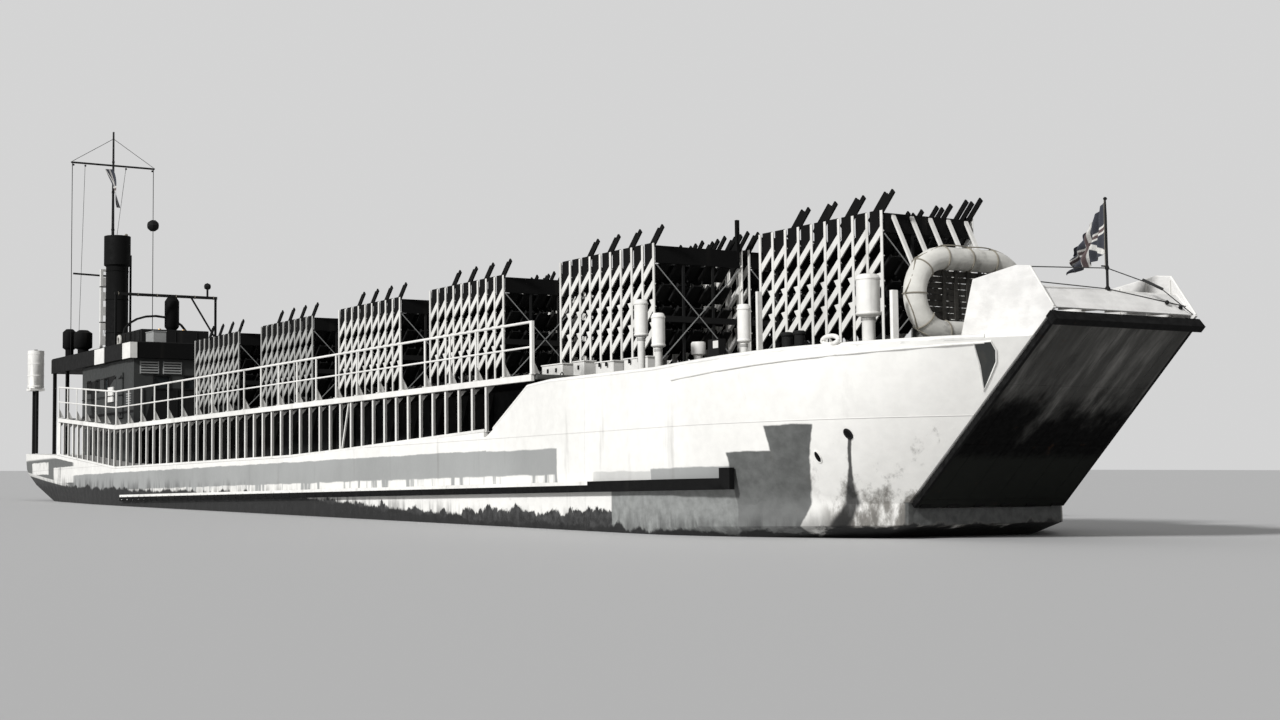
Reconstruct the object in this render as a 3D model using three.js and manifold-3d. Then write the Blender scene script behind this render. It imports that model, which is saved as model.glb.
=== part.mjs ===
// Half-scale model of a wartime military landing craft whose raised deck carries tiered racks.
// The sizes below are those of the full-size craft, in millimetres: X runs forward from the stern,
// Y to port and Z up from the flat bottom. The last lines bring the whole group to half scale.
import * as THREE from 'three';
import { mergeVertices } from 'three/addons/utils/BufferGeometryUtils.js';
import Module from 'manifold-3d';

const wasm = await Module();
wasm.setup();

const MODEL_SCALE = 0.5;
const GAP = 4;
const STARBOARD = -1;
const PORT = 1;
const SIDES = [[STARBOARD, 'starboard'], [PORT, 'port']];

// Lines of the hull: [x, value] pairs, straight between them.
const HALF_BEAM = [[0, 4000], [900, 4160], [4000, 4360], [9000, 4550], [14000, 4720], [60000, 4720]];
const LOWER_DECK = [[0, 3920], [6000, 3700], [14000, 3010], [30000, 3010], [33400, 3080],
  [41900, 3320], [60000, 3400]];
const UPPER_DECK = [[4800, 5260], [14000, 4570], [60000, 4570]];
const SHEER = [[42000, 3200], [42300, 3340], [44000, 4280], [45000, 4345], [49300, 4345],
  [53000, 4480], [60000, 4560]];

// Fore body
const BOW_BLOCK_AFT = 41900;
const RAMP_FOOT = [54200, 1520];
const RAMP_RISE = 42 * Math.PI / 180;
const BOW_TOP = 4700;
const BOW_OPENING_HALF = 1780;
const FORE_DECK_END = 55600;

// Tank hold
const HOLD_AFT = 14500;
const HOLD_HALF = 2900;
const HOLD_NARROWS = 49500;
const HOLD_FLOOR = 1420;
const WELL_FLOOR = 3420;
const COAMING = 150;
const DECK_PLATE = 120;

// Gallery and guard rails
const GALLERY_AFT = 6000;
const GALLERY_END = 41900;
const GALLERY_FORE = 44200;
const QUARTER_KNUCKLE = 14000;
const SIDE_KNUCKLES = [9000, QUARTER_KNUCKLE, 30000, 33400];
const STANCHION_PITCH = 700;
const STANCHION = 90;
const EDGE_BEAM = 150;
const RAIL_HEIGHT = 1250;
const RAIL_POST_PITCH = 1400;
const RAIL_BAR = 60;

// Racks
const RACK_FOOT = along(UPPER_DECK, 30000) + GAP;
const RACK_LENGTH = 4185;
const RACK_WIDTH = 2500;
const RACK_TOP = 7490;
const RACK_COLUMN = 465;
const INNER_COLUMN = 1395;
const RACK_TIER = 520;
const RACK_TIERS = 4;
const RACK_RAIL_RISE = 420;
const RACK_RAIL = 120;
const RACK_POST = 80;
const RACK_PLANE = 70;
const TIP_PITCH = 930;
const TIP_REACH = 560;
const TIP_WIDTH = 90;

// After works
const HOUSE = { aft: 4500, fore: 10900, half: 3000, wall: 80, top: 7270 };
const BRIDGE_DECK = { aft: 800, fore: 11100, half: 3200, plate: 100 };
const ROOF_TOP = HOUSE.top + GAP + BRIDGE_DECK.plate;
const BRIDGE = { aft: 4000, fore: 7000, half: 1400, wall: 70, height: 1350 };

// Under water
const PROPELLER = { x: 3900, y: 2150, z: 900, radius: 520, hub: 110, length: 300, shaftEnd: 7200 };
const SHAFT_RADIUS = 60;
const RUDDER = { x: 2450, y: 2150, foot: 330, top: 1560, chord: 1150, balance: 320, thickness: 110, stock: 55,
  stockTop: 2500 };

const X_AXIS = new THREE.Vector3(1, 0, 0);
const Y_AXIS = new THREE.Vector3(0, 1, 0);
const Z_AXIS = new THREE.Vector3(0, 0, 1);

const PAINT = {
  white: { color: 0xdad9d2, roughness: 0.62, metalness: 0.05 },
  grey: { color: 0x83847f, roughness: 0.7, metalness: 0.05 },
  dark: { color: 0x2c2d2c, roughness: 0.72, metalness: 0.15 },
  black: { color: 0x151616, roughness: 0.6, metalness: 0.2 },
  deck: { color: 0x55564f, roughness: 0.85, metalness: 0.05 },
  bronze: { color: 0x8a6a3c, roughness: 0.4, metalness: 0.85 },
  steel: { color: 0x6d6a66, roughness: 0.55, metalness: 0.6 },
  canvas: { color: 0x9a968a, roughness: 0.95, metalness: 0 },
};

// Value of a line at x.
function along(line, x) {
  let i = 1;
  while (i < line.length - 1 && x > line[i][0]) i += 1;
  const [x0, v0] = line[i - 1];
  const [x1, v1] = line[i];
  const t = THREE.MathUtils.clamp((x - x0) / (x1 - x0), 0, 1);
  return v0 + (v1 - v0) * t;
}

function signedVolume(positions, index) {
  let sum = 0;
  const a = new THREE.Vector3();
  const b = new THREE.Vector3();
  const c = new THREE.Vector3();
  for (let i = 0; i < index.length; i += 3) {
    a.fromArray(positions, index[i] * 3);
    b.fromArray(positions, index[i + 1] * 3);
    c.fromArray(positions, index[i + 2] * 3);
    sum += a.dot(b.cross(c));
  }
  return sum;
}

// A closed geometry as a solid with its faces pointing out.
function solid(geometry) {
  const bare = geometry.clone();
  bare.deleteAttribute('normal');
  bare.deleteAttribute('uv');
  const merged = mergeVertices(bare, 1e-3);
  const positions = Float32Array.from(merged.attributes.position.array);
  const index = Uint32Array.from(merged.index.array);
  if (signedVolume(positions, index) < 0) {
    for (let i = 0; i < index.length; i += 3) [index[i], index[i + 1]] = [index[i + 1], index[i]];
  }
  return new wasm.Manifold(new wasm.Mesh({ numProp: 3, vertProperties: positions, triVerts: index }));
}

function geometryOf(shape) {
  const mesh = shape.getMesh();
  const geometry = new THREE.BufferGeometry();
  geometry.setAttribute('position', new THREE.Float32BufferAttribute(mesh.vertProperties, 3));
  geometry.setIndex(new THREE.Uint32BufferAttribute(mesh.triVerts, 1));
  return geometry;
}

function placed(shape, matrix) {
  return solid(geometryOf(shape).applyMatrix4(matrix));
}

function moved(shape, x, y, z) {
  return placed(shape, new THREE.Matrix4().makeTranslation(x, y, z));
}

const ACROSS = new THREE.Matrix4().makeScale(1, -1, 1);

// The same piece on the other side of the craft.
function mirroredTo(side, shape) {
  return side === PORT ? shape : placed(shape, ACROSS);
}

function join(solids) {
  return solids.reduce((whole, piece) => whole.add(piece));
}

function cut(body, tools) {
  return tools.reduce((rest, tool) => rest.subtract(tool), body);
}

function block([x0, x1], [y0, y1], [z0, z1]) {
  const box = new THREE.BoxGeometry(x1 - x0, y1 - y0, z1 - z0);
  box.translate((x0 + x1) / 2, (y0 + y1) / 2, (z0 + z1) / 2);
  return solid(box);
}

function extruded(points, depth) {
  const shape = new THREE.Shape(points.map(([u, v]) => new THREE.Vector2(u, v)));
  return new THREE.ExtrudeGeometry(shape, { depth, bevelEnabled: false });
}

// Plate drawn in plan (x, y) between two heights.
function planPlate(points, z0, z1) {
  return solid(extruded(points, z1 - z0).translate(0, 0, z0));
}

// Plate drawn in side view (x, z) between two values of y.
function sidePlate(points, y0, y1) {
  const geometry = extruded(points, y1 - y0);
  geometry.applyMatrix4(new THREE.Matrix4().makeBasis(X_AXIS, Z_AXIS, Y_AXIS.clone().negate()));
  return solid(geometry.translate(0, y1, 0));
}

// Plate drawn in end view (y, z) between two values of x.
function endPlate(points, x0, x1) {
  const geometry = extruded(points, x1 - x0);
  geometry.applyMatrix4(new THREE.Matrix4().makeBasis(Y_AXIS, Z_AXIS, X_AXIS));
  return solid(geometry.translate(x0, 0, 0));
}

function between(geometry, from, to) {
  const start = new THREE.Vector3(...from);
  const reach = new THREE.Vector3(...to).sub(start);
  const turn = new THREE.Quaternion().setFromUnitVectors(Z_AXIS, reach.clone().normalize());
  geometry.translate(0, 0, reach.length() / 2);
  return solid(geometry.applyQuaternion(turn).translate(...start.toArray()));
}

function bar(from, to, width, thickness = width) {
  const length = new THREE.Vector3(...to).distanceTo(new THREE.Vector3(...from));
  return between(new THREE.BoxGeometry(width, thickness, length), from, to);
}

function rod(from, to, radius, facets = 8, endRadius = radius) {
  const length = new THREE.Vector3(...to).distanceTo(new THREE.Vector3(...from));
  const tube = new THREE.CylinderGeometry(endRadius, radius, length, facets).rotateX(Math.PI / 2);
  return between(tube, from, to);
}

// Solid of revolution about an upright axis: profile of [radius, z] from axis to axis.
function turned(profile, facets, [x, y, z]) {
  const points = profile.map(([radius, height]) => new THREE.Vector2(radius, height));
  return solid(new THREE.LatheGeometry(points, facets).rotateX(Math.PI / 2).translate(x, y, z));
}

function ball(centre, radius, facets = 10) {
  return solid(new THREE.SphereGeometry(radius, facets, facets / 2).translate(...centre));
}

// Closed skin through rings of the same number of [x, y, z] points.
function loft(rings) {
  const count = rings[0].length;
  const positions = rings.flat(2);
  const index = [];
  for (let ring = 0; ring + 1 < rings.length; ring += 1) {
    for (let i = 0; i < count; i += 1) {
      const a = ring * count + i;
      const b = ring * count + (i + 1) % count;
      index.push(a, b, a + count, b, b + count, a + count);
    }
  }
  const last = (rings.length - 1) * count;
  for (let i = 1; i + 1 < count; i += 1) {
    index.push(0, i + 1, i);
    index.push(last, last + i, last + i + 1);
  }
  const geometry = new THREE.BufferGeometry();
  geometry.setAttribute('position', new THREE.Float32BufferAttribute(positions, 3));
  geometry.setIndex(index);
  return solid(geometry);
}

// Half of a ring and its mirror image, as one ring round the craft.
function mirrored(half) {
  return [...half, ...half.map(([x, y, z]) => [x, -y, z]).reverse()];
}

const craft = new THREE.Group();

function addPiece(name, shape, paint) {
  const piece = new THREE.Mesh(geometryOf(shape), new THREE.MeshStandardMaterial(PAINT[paint]));
  piece.name = name;
  craft.add(piece);
}

// Hull

// Sections aft of the bow block: x, half width and height of the bottom edge, the bilge and the knuckle.
const SECTIONS = [
  { x: 0, bottom: [3600, 3150], bilge: [3800, 3200], knuckle: [3950, 3260] },
  { x: 900, bottom: [3300, 2350], bilge: [3800, 2600], knuckle: [4120, 3050] },
  { x: 4000, bottom: [3400, 1600], bilge: [3950, 1900], knuckle: [4330, 2780] },
  { x: 6000, bottom: [3600, 1080], bilge: [4110, 1420], knuckle: [4410, 2620] },
  { x: 9000, bottom: [3900, 300], bilge: [4350, 700], knuckle: [4530, 2380] },
  { x: 11000, bottom: [4200, 0], bilge: [4600, 400], knuckle: [4640, 2250] },
  { x: 14000, bottom: [4350, 0], bilge: [4720, 370], knuckle: [4720, 2100] },
  { x: 30000, bottom: [4350, 0], bilge: [4720, 370], knuckle: [4720, 2100] },
  { x: 33400, bottom: [4350, 0], bilge: [4720, 370], knuckle: [4720, 2100] },
  { x: BOW_BLOCK_AFT, bottom: [4350, 0], bilge: [4720, 370], knuckle: [4720, 2100] },
];

function afterBody() {
  return loft(SECTIONS.map(({ x, bottom, bilge, knuckle }) => mirrored([
    [x, ...bottom],
    [x, ...bilge],
    [x, ...knuckle],
    [x, along(HALF_BEAM, x), along(LOWER_DECK, x)],
  ])));
}

// Front of the bow at a height: the raked forefoot, the hinge strip, then the slope that the ramp closes.
function bowFront(z) {
  const stripFoot = 1100;
  const forefoot = 3800;
  if (z < stripFoot) return RAMP_FOOT[0] - forefoot * (1 - z / stripFoot);
  if (z < RAMP_FOOT[1]) return RAMP_FOOT[0];
  return RAMP_FOOT[0] + (z - RAMP_FOOT[1]) / Math.tan(RAMP_RISE);
}

// Levels of the bow block: z, length of the rounded shoulder, half width of the side and of the front corner.
const BOW_LEVELS = [[0, 4300, 4350, 2060], [370, 4600, 4720, 2060], [1100, 5200, 4720, 2050],
  [RAMP_FOOT[1], 5200, 4720, 2040], [BOW_TOP, 7000, 4720, 1895]];
const SHOULDER = [[0, 0], [0.16, 0.02], [0.3, 0.085], [0.43, 0.17], [0.55, 0.27], [0.68, 0.425], [0.8, 0.6],
  [0.9, 0.79], [1, 1]];

// Outline in plan of the bow at a height, from the shoulder's aft end to the front corner.
function shoulderLine(z, inset = 0) {
  const [length, half, corner] = [1, 2, 3]
    .map((column) => along(BOW_LEVELS.map((row) => [row[0], row[column]]), z));
  return SHOULDER.map(([t, drop]) => [bowFront(z) - length * (1 - t), half - inset - (half - corner) * drop]);
}

function bowBlock() {
  return loft(BOW_LEVELS.map(([z, , half]) => mirrored([
    [BOW_BLOCK_AFT, half, z],
    ...shoulderLine(z).map(([x, y]) => [x, y, z]),
  ])));
}

function aboveLine(line, x0, x1, half) {
  const points = line.filter(([x]) => x > x0 && x < x1);
  const top = 9000;
  return sidePlate([[x0, along(line, x0)], ...points, [x1, along(line, x1)], [x1, top], [x0, top]],
    -half, half);
}

// Well between the bow's side plating and the hold, floored by the lower deck. Its after part runs on into the
// hold, where the coaming stands between the two.
function foreWell(side) {
  const plating = 110;
  const inner = HOLD_HALF + COAMING;
  const open = HOLD_HALF - 100;
  const outer = shoulderLine(WELL_FLOOR, plating).filter(([, y]) => y > inner + plating);
  const end = outer[outer.length - 1];
  return planPlate([[BOW_BLOCK_AFT - 500, open], [BOW_BLOCK_AFT - 500, outer[0][1]], ...outer,
    [end[0], inner], [HOLD_NARROWS, inner], [HOLD_NARROWS, open]].map(([x, y]) => [x, side * y]),
  WELL_FLOOR, BOW_TOP + 100);
}

function holdSpace() {
  const bowward = 60000;
  return planPlate([[HOLD_AFT, -HOLD_HALF], [HOLD_NARROWS, -HOLD_HALF], [52000, -BOW_OPENING_HALF],
    [bowward, -BOW_OPENING_HALF], [bowward, BOW_OPENING_HALF], [52000, BOW_OPENING_HALF],
    [HOLD_NARROWS, HOLD_HALF], [HOLD_AFT, HOLD_HALF]], HOLD_FLOOR, BOW_TOP + 100);
}

const COAMING_TOP = along(UPPER_DECK, 30000) - DECK_PLATE - GAP;

function hull() {
  const rim = HOLD_HALF + COAMING;
  const deckSeat = block([BOW_BLOCK_AFT - 200, FORE_DECK_END + GAP], [-rim - GAP, rim + GAP],
    [COAMING_TOP, BOW_TOP + 100]);
  const shell = afterBody().add(bowBlock().subtract(aboveLine(SHEER, BOW_BLOCK_AFT - 10, 60000, 6000)));
  const bores = SIDES.flatMap(([side]) => [
    rod([5500, side * PROPELLER.y, PROPELLER.z], [PROPELLER.shaftEnd + 60, side * PROPELLER.y, PROPELLER.z],
      SHAFT_RADIUS + 14, 10),
    rod([RUDDER.x, side * RUDDER.y, 1000], [RUDDER.x, side * RUDDER.y, RUDDER.stockTop + 20],
      RUDDER.stock + 14, 10),
  ]);
  return cut(shell, [deckSeat, holdSpace(), foreWell(STARBOARD), foreWell(PORT), ...bores]);
}

addPiece('hull', hull(), 'white');

// Coaming round the after part of the hold, from the lower deck up to the raised deck.
function coaming() {
  const rim = HOLD_HALF + COAMING;
  return cut(block([HOLD_AFT - COAMING, HOLD_NARROWS - GAP], [-rim, rim], [2000, COAMING_TOP]), [
    block([HOLD_AFT, 60000], [-HOLD_HALF, HOLD_HALF], [0, BOW_TOP]),
    belowLine(LOWER_DECK, 14000, 60000, rim + GAP),
    block([BOW_BLOCK_AFT - GAP, 60000], [-rim - GAP, rim + GAP], [0, WELL_FLOOR + GAP]),
  ]);
}

addPiece('hold_coaming', coaming(), 'white');

// Rubbing strakes, each running on to the bow's shoulder with its forward end turned up.
function strake(side) {
  const proud = 130;
  const end = 51650;
  const [low, high, upturned] = [1835, 2065, 2270];
  const shoulder = shoulderLine(upturned, -30);
  const line = [[15000, 4720 + GAP], [30000, 4720 + GAP], ...shoulder.filter(([x]) => x < end - 100),
    [end, along(shoulder, end)]];
  const outer = line.map(([x, y]) => [x, side * (y + proud)]);
  const inner = line.map(([x, y]) => [x, side * y]).reverse();
  const [endX, endY] = outer[outer.length - 1];
  const upturn = planPlate([[endX, endY], [endX, endY - side * proud],
    [endX - 240, endY - side * (proud - 100)], [endX - 240, endY + side * 90]], low + 20, upturned);
  return planPlate([...outer, ...inner], low, high).add(upturn);
}

for (const [side, name] of SIDES) addPiece(`rubbing_strake_${name}`, strake(side), 'black');

// Bow ramp, a little narrower at its top, drawn flat along its own length and swung up about its hinge.
const RAMP = { length: 5050, heelHalf: 2005, topHalf: 1860, plate: 110, rib: 160, hingeOut: 90, hingeUp: 80 };
const RAMP_HINGE = [
  RAMP_FOOT[0] + RAMP.hingeOut * Math.sin(RAMP_RISE) + RAMP.hingeUp * Math.cos(RAMP_RISE),
  RAMP_FOOT[1] - RAMP.hingeOut * Math.cos(RAMP_RISE) + RAMP.hingeUp * Math.sin(RAMP_RISE),
];

function ramp() {
  const heel = -50;
  const beamHalf = RAMP.topHalf + 95;
  const plate = planPlate([[heel, -RAMP.heelHalf], [RAMP.length, -RAMP.topHalf], [RAMP.length, RAMP.topHalf],
    [heel, RAMP.heelHalf]], -RAMP.plate / 2, RAMP.plate / 2);
  const endBeam = block([RAMP.length - 120, RAMP.length + 30], [-beamHalf, beamHalf],
    [-RAMP.rib, RAMP.plate / 2]);
  const treads = [];
  const treadPitch = 620;
  for (let x = 500; x < RAMP.length - 400; x += treadPitch) {
    treads.push(block([x, x + 70], [-1600, 1600], [RAMP.plate / 2 - 10, RAMP.plate / 2 + 45]));
  }
  const flat = new THREE.Matrix4().makeRotationY(-RAMP_RISE);
  flat.setPosition(RAMP_HINGE[0], 0, RAMP_HINGE[1]);
  return placed(join([plate, endBeam, ...treads]), flat);
}

addPiece('bow_ramp', ramp(), 'dark');

const SCREEN_TOP = 5430;

// Bow cheeks, standing on the sheer, and the weather screen between them.
function bowScreen() {
  const [aft, fore] = [55600, 57540];
  const cheekPoints = [[aft, along(SHEER, aft) + GAP], [55990, 5710], [57130, 5850], [57480, 5810],
    [58080, 5000], [fore, along(SHEER, fore) + GAP]];
  const outer = 1890;
  const inner = 1820;
  const cheeks = SIDES.map(([side]) => sidePlate(cheekPoints, ...[side * outer, side * inner]
    .sort((a, b) => a - b)));
  const screen = sidePlate([[57960, 5000], [57995, 5025], [57630, SCREEN_TOP], [57570, SCREEN_TOP]],
    -inner - 10, inner + 10);
  return join([...cheeks, screen]);
}

addPiece('bow_screen', bowScreen(), 'white');

// Flag staff on the screen's top edge, with the ensign hanging from it towards the stern.
const STAFF = { x: 57600, top: 7140, radius: 25 };
addPiece('flag_staff', rod([STAFF.x, 0, SCREEN_TOP + GAP], [STAFF.x, 0, STAFF.top], STAFF.radius)
  .add(ball([STAFF.x, 0, STAFF.top + 20], 45, 8)), 'steel');
addPiece('ensign', sidePlate([[57555, 7090], [57565, 6150], [56960, 5810], [56640, 5800], [56680, 6160],
  [57300, 6870]], -60, 60), 'canvas');

// Raised rack deck
function deckSlab(x0, x1, halfOf) {
  const stations = [x0, ...[6000, 9000, 14000].filter((x) => x > x0 && x < x1), x1];
  return loft(stations.map((x) => {
    const top = along(UPPER_DECK, x);
    const half = halfOf(x);
    return [[x, -half, top - DECK_PLATE], [x, half, top - DECK_PLATE], [x, half, top], [x, -half, top]];
  }));
}

function rackDeck() {
  const wide = deckSlab(GALLERY_AFT, GALLERY_FORE + 100, (x) => along(HALF_BEAM, x) - STANCHION - 20);
  const narrow = deckSlab(GALLERY_FORE, FORE_DECK_END - GAP, () => HOLD_HALF + COAMING - GAP);
  const house = block([HOUSE.aft - 40, HOUSE.fore + 20], [-HOUSE.half - 20, HOUSE.half + 20], [4000, 6000]);
  return cut(wide.add(narrow), [house]);
}

addPiece('rack_deck', rackDeck(), 'deck');

// Pierced plate along the side of the hull, laid on its curve: uprights at a pitch between two heights,
// with openings in bands given as fractions of the height. Each straight stretch is drawn on its own.
function sideCurtain(x0, x1, { pitch, upright, bands, inset, thickness, foot, head }, side) {
  const stops = [x0, ...SIDE_KNUCKLES.filter((x) => x > x0 && x < x1), x1];
  const stretches = stops.slice(1).map((end, i) => {
    const start = stops[i];
    const plate = block([start, end], [0, thickness], [0, 1]);
    const openings = bands.flatMap(([v0, v1]) => bays(start, end, pitch, upright)
      .map((xs) => block(xs, [-10, thickness + 10], [v0, v1])));
    const geometry = geometryOf(cut(plate, openings));
    const position = geometry.attributes.position;
    for (let p = 0; p < position.count; p += 1) {
      const x = position.getX(p);
      const y = side * (along(HALF_BEAM, x) - inset - position.getY(p));
      position.setXYZ(p, x, y, foot(x) + (head(x) - foot(x)) * position.getZ(p));
    }
    return solid(geometry);
  });
  return join(stretches);
}

// Openings between uprights at a pitch, half an upright in from both ends.
function bays(x0, x1, pitch, upright) {
  const count = Math.max(1, Math.round((x1 - x0) / pitch));
  const step = (x1 - x0) / count;
  return Array.from({ length: count },
    (_, i) => [x0 + i * step + upright / 2, x0 + (i + 1) * step - upright / 2]);
}

// Gallery: stanchions between the lower deck's edge and the raised deck's edge, with a beam that runs on
// over the aft end of the bow's side plating.
function gallery(side) {
  const rows = { pitch: STANCHION_PITCH, upright: STANCHION, bands: [[0.08, 0.9]], inset: 0,
    thickness: STANCHION - 10, foot: (x) => along(LOWER_DECK, x) + GAP, head: (x) => along(UPPER_DECK, x) };
  const beamTop = along(UPPER_DECK, GALLERY_FORE);
  const middle = along(HALF_BEAM, GALLERY_FORE) - 55;
  const beam = block([GALLERY_END - 100, GALLERY_FORE], [side * middle - 45, side * middle + 45],
    [beamTop - EDGE_BEAM, beamTop]);
  return sideCurtain(GALLERY_AFT, GALLERY_END, rows, side).add(beam);
}

function guardRail(x0, x1, side) {
  const rail = RAIL_BAR / RAIL_HEIGHT;
  const middle = 0.52;
  const rows = { pitch: RAIL_POST_PITCH, upright: RAIL_BAR,
    bands: [[rail, middle - rail], [middle, 1 - rail]], inset: 20, thickness: RAIL_BAR,
    foot: (x) => along(UPPER_DECK, x) + GAP, head: (x) => along(UPPER_DECK, x) + RAIL_HEIGHT };
  return sideCurtain(x0, x1, rows, side);
}

for (const [side, name] of SIDES) {
  addPiece(`gallery_${name}`, gallery(side), 'white');
  addPiece(`guard_rail_aft_${name}`, guardRail(GALLERY_AFT, QUARTER_KNUCKLE - GAP, side), 'white');
  addPiece(`guard_rail_${name}`, guardRail(QUARTER_KNUCKLE, GALLERY_FORE, side), 'white');
}

// Racks

// Side plane of a rack, drawn from its aft post: posts at a pitch, joined by tiers of sloping rails, with the
// tips of the rails standing over the top.
function rackPlane(column) {
  const fore = RACK_LENGTH + RACK_POST;
  const outline = [[0, RACK_FOOT], [fore, RACK_FOOT], [fore, RACK_TOP]];
  for (let x = fore - 150; x > TIP_PITCH / 2; x -= TIP_PITCH) {
    outline.push([x, RACK_TOP], [x + TIP_REACH, RACK_TOP + TIP_REACH],
      [x + TIP_REACH - TIP_WIDTH, RACK_TOP + TIP_REACH], [x - TIP_WIDTH * 1.5, RACK_TOP]);
  }
  outline.push([0, RACK_TOP]);
  const openings = [];
  for (let left = RACK_POST; left < RACK_LENGTH; left += column) {
    const right = left + column - RACK_POST;
    for (let tier = 0; tier < RACK_TIERS; tier += 1) {
      const low = RACK_FOOT + RACK_RAIL + tier * RACK_TIER;
      const high = low + RACK_TIER - RACK_RAIL;
      openings.push(sidePlate([[left, low], [right, low + RACK_RAIL_RISE], [right, high + RACK_RAIL_RISE],
        [left, high]], -10, RACK_PLANE + 10));
    }
  }
  return geometryOf(cut(sidePlate(outline, 0, RACK_PLANE), openings));
}

const OUTER_PLANE = rackPlane(RACK_COLUMN);
const INNER_PLANE = rackPlane(INNER_COLUMN);

// A rack: its side planes, given from starboard to port, and the beams across its two ends.
function rack(xFore, yLow, planes) {
  const aft = xFore - RACK_LENGTH - RACK_POST;
  const inner = [yLow + RACK_PLANE - 5, yLow + RACK_WIDTH - RACK_PLANE + 5];
  const beams = [aft, xFore - RACK_POST].flatMap((x) => [[RACK_TOP - 380, RACK_TOP - 40],
    [RACK_FOOT + 1150, RACK_FOOT + 1290], [RACK_FOOT, RACK_FOOT + 120]]
    .map((zs) => block([x, x + RACK_POST], inner, zs)));
  const sides = planes.map((plane, i) => solid(plane.clone()
    .translate(aft, yLow + i * (RACK_WIDTH - RACK_PLANE), 0)));
  return join([...sides, ...beams]);
}

// Racks: name, forward face and the side nearest to starboard.
const RACK_ROWS = [['b', 46200], ['c', 39100], ['d', 33000], ['e', 26800], ['f', 20600]];
const RACK_A_FORE = 52660;

function shoredRack() {
  const lean = 1500;
  const shores = [-950, -450, 50, 550, 1050].map((y) => bar([RACK_A_FORE - 60, y, RACK_TOP - 60],
    [RACK_A_FORE + lean, y, RACK_FOOT + 60], 80));
  const sill = block([RACK_A_FORE + lean - 80, RACK_A_FORE + lean + 80], [-1050, 1150],
    [RACK_FOOT, RACK_FOOT + 90]);
  return join([rack(RACK_A_FORE, -RACK_WIDTH / 2, [OUTER_PLANE, OUTER_PLANE]), ...shores, sill]);
}

addPiece('rack_a', shoredRack(), 'white');
for (const [letter, xFore] of RACK_ROWS) {
  addPiece(`rack_${letter}_starboard`, rack(xFore, -100 - RACK_WIDTH, [OUTER_PLANE, INNER_PLANE]), 'white');
  addPiece(`rack_${letter}_port`, rack(xFore, 100, [INNER_PLANE, OUTER_PLANE]), 'white');
}

// Deck gear forward

// Life float: an oval ring standing on its long side across the deck, with a slatted floor.
function lifeFloat() {
  const length = 3150;
  const height = 1900;
  const tube = 230;
  const x = 54900;
  const low = along(UPPER_DECK, 30000) + GAP;
  const straight = (length - height) / 2;
  const bend = height / 2 - tube;
  const points = [];
  const turns = 12;
  for (const end of [1, -1]) {
    for (let i = 0; i <= turns / 2; i += 1) {
      const angle = end * (Math.PI / 2 - i * Math.PI / (turns / 2));
      points.push([end * straight + end * Math.abs(Math.cos(angle)) * bend, Math.sin(angle) * bend]);
    }
  }
  const centre = [-1025, low + height / 2];
  const rings = points.map(([u, v], i) => {
    const [pu, pv] = points[(i + points.length - 1) % points.length];
    const [nu, nv] = points[(i + 1) % points.length];
    const out = new THREE.Vector2(nv - pv, pu - nu).normalize();
    return Array.from({ length: 8 }, (_, k) => {
      const angle = k * Math.PI / 4;
      const reach = Math.cos(angle) * tube;
      return [x + Math.sin(angle) * tube, centre[0] + u + out.x * reach, centre[1] + v + out.y * reach];
    });
  });
  const floorSlab = block([x - 40, x + 40], [centre[0] - straight - bend, centre[0] + straight + bend],
    [centre[1] - bend * 0.55, centre[1] + bend * 0.55]);
  const uprights = [-straight, 0, straight].map((u) => block([x - 35, x + 35],
    [centre[0] + u - 60, centre[0] + u + 60], [centre[1] - bend, centre[1] + bend]));
  return join([closedTube(rings), floorSlab, ...uprights]);
}

// Tube through rings that close on the first.
function closedTube(rings) {
  const count = rings[0].length;
  const index = [];
  for (let ring = 0; ring < rings.length; ring += 1) {
    const next = ((ring + 1) % rings.length) * count;
    for (let i = 0; i < count; i += 1) {
      const a = ring * count + i;
      const b = ring * count + (i + 1) % count;
      index.push(a, b, next + i, b, next + (i + 1) % count, next + i);
    }
  }
  const geometry = new THREE.BufferGeometry();
  geometry.setAttribute('position', new THREE.Float32BufferAttribute(rings.flat(2), 3));
  geometry.setIndex(index);
  return solid(geometry);
}

addPiece('life_float', lifeFloat(), 'canvas');

// Deck ventilators: x, half-breadth y, foot, underside and top of the drum, drum radius.
const VENTILATORS = [
  { x: 54000, y: 2780, foot: 4570, drum: [5140, 5980], radius: 235 },
  { x: 51500, y: 3950, foot: 3420, drum: [4770, 5570], radius: 130 },
  { x: 48600, y: 4100, foot: 3420, drum: [4880, 5640], radius: 145 },
  { x: 47700, y: 3950, foot: 3420, drum: [5180, 6020], radius: 150 },
];

function ventilator({ x, y, foot, drum, radius }, side) {
  const [under, top] = drum;
  const stem = radius * 0.55;
  return turned([[0, foot + GAP], [stem, foot + GAP], [stem, under], [radius, under + 30], [radius, top - 40],
    [radius * 0.7, top], [0, top]], 12, [x, side * y, 0]);
}

for (const [side, name] of SIDES) {
  VENTILATORS.forEach((row, i) => addPiece(`ventilator_${i + 1}_${name}`, ventilator(row, side), 'white'));
}

// After works

function ringWall([x0, x1], half, wall, [z0, z1]) {
  return block([x0, x1], [-half, half], [z0, z1])
    .subtract(block([x0 + wall, x1 - wall], [-half + wall, half - wall], [z0 - 10, z1 + 10]));
}

const DOOR = { x: 9300, width: 760, foot: 5050, top: 6750, thickness: 50 };

function belowLine(line, x0, x1, half) {
  const points = line.filter(([x]) => x > x0 && x < x1);
  return sidePlate([[x0, along(line, x0) + GAP], ...points.map(([x, z]) => [x, z + GAP]),
    [x1, along(line, x1) + GAP], [x1, 0], [x0, 0]], -half, half);
}

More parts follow.
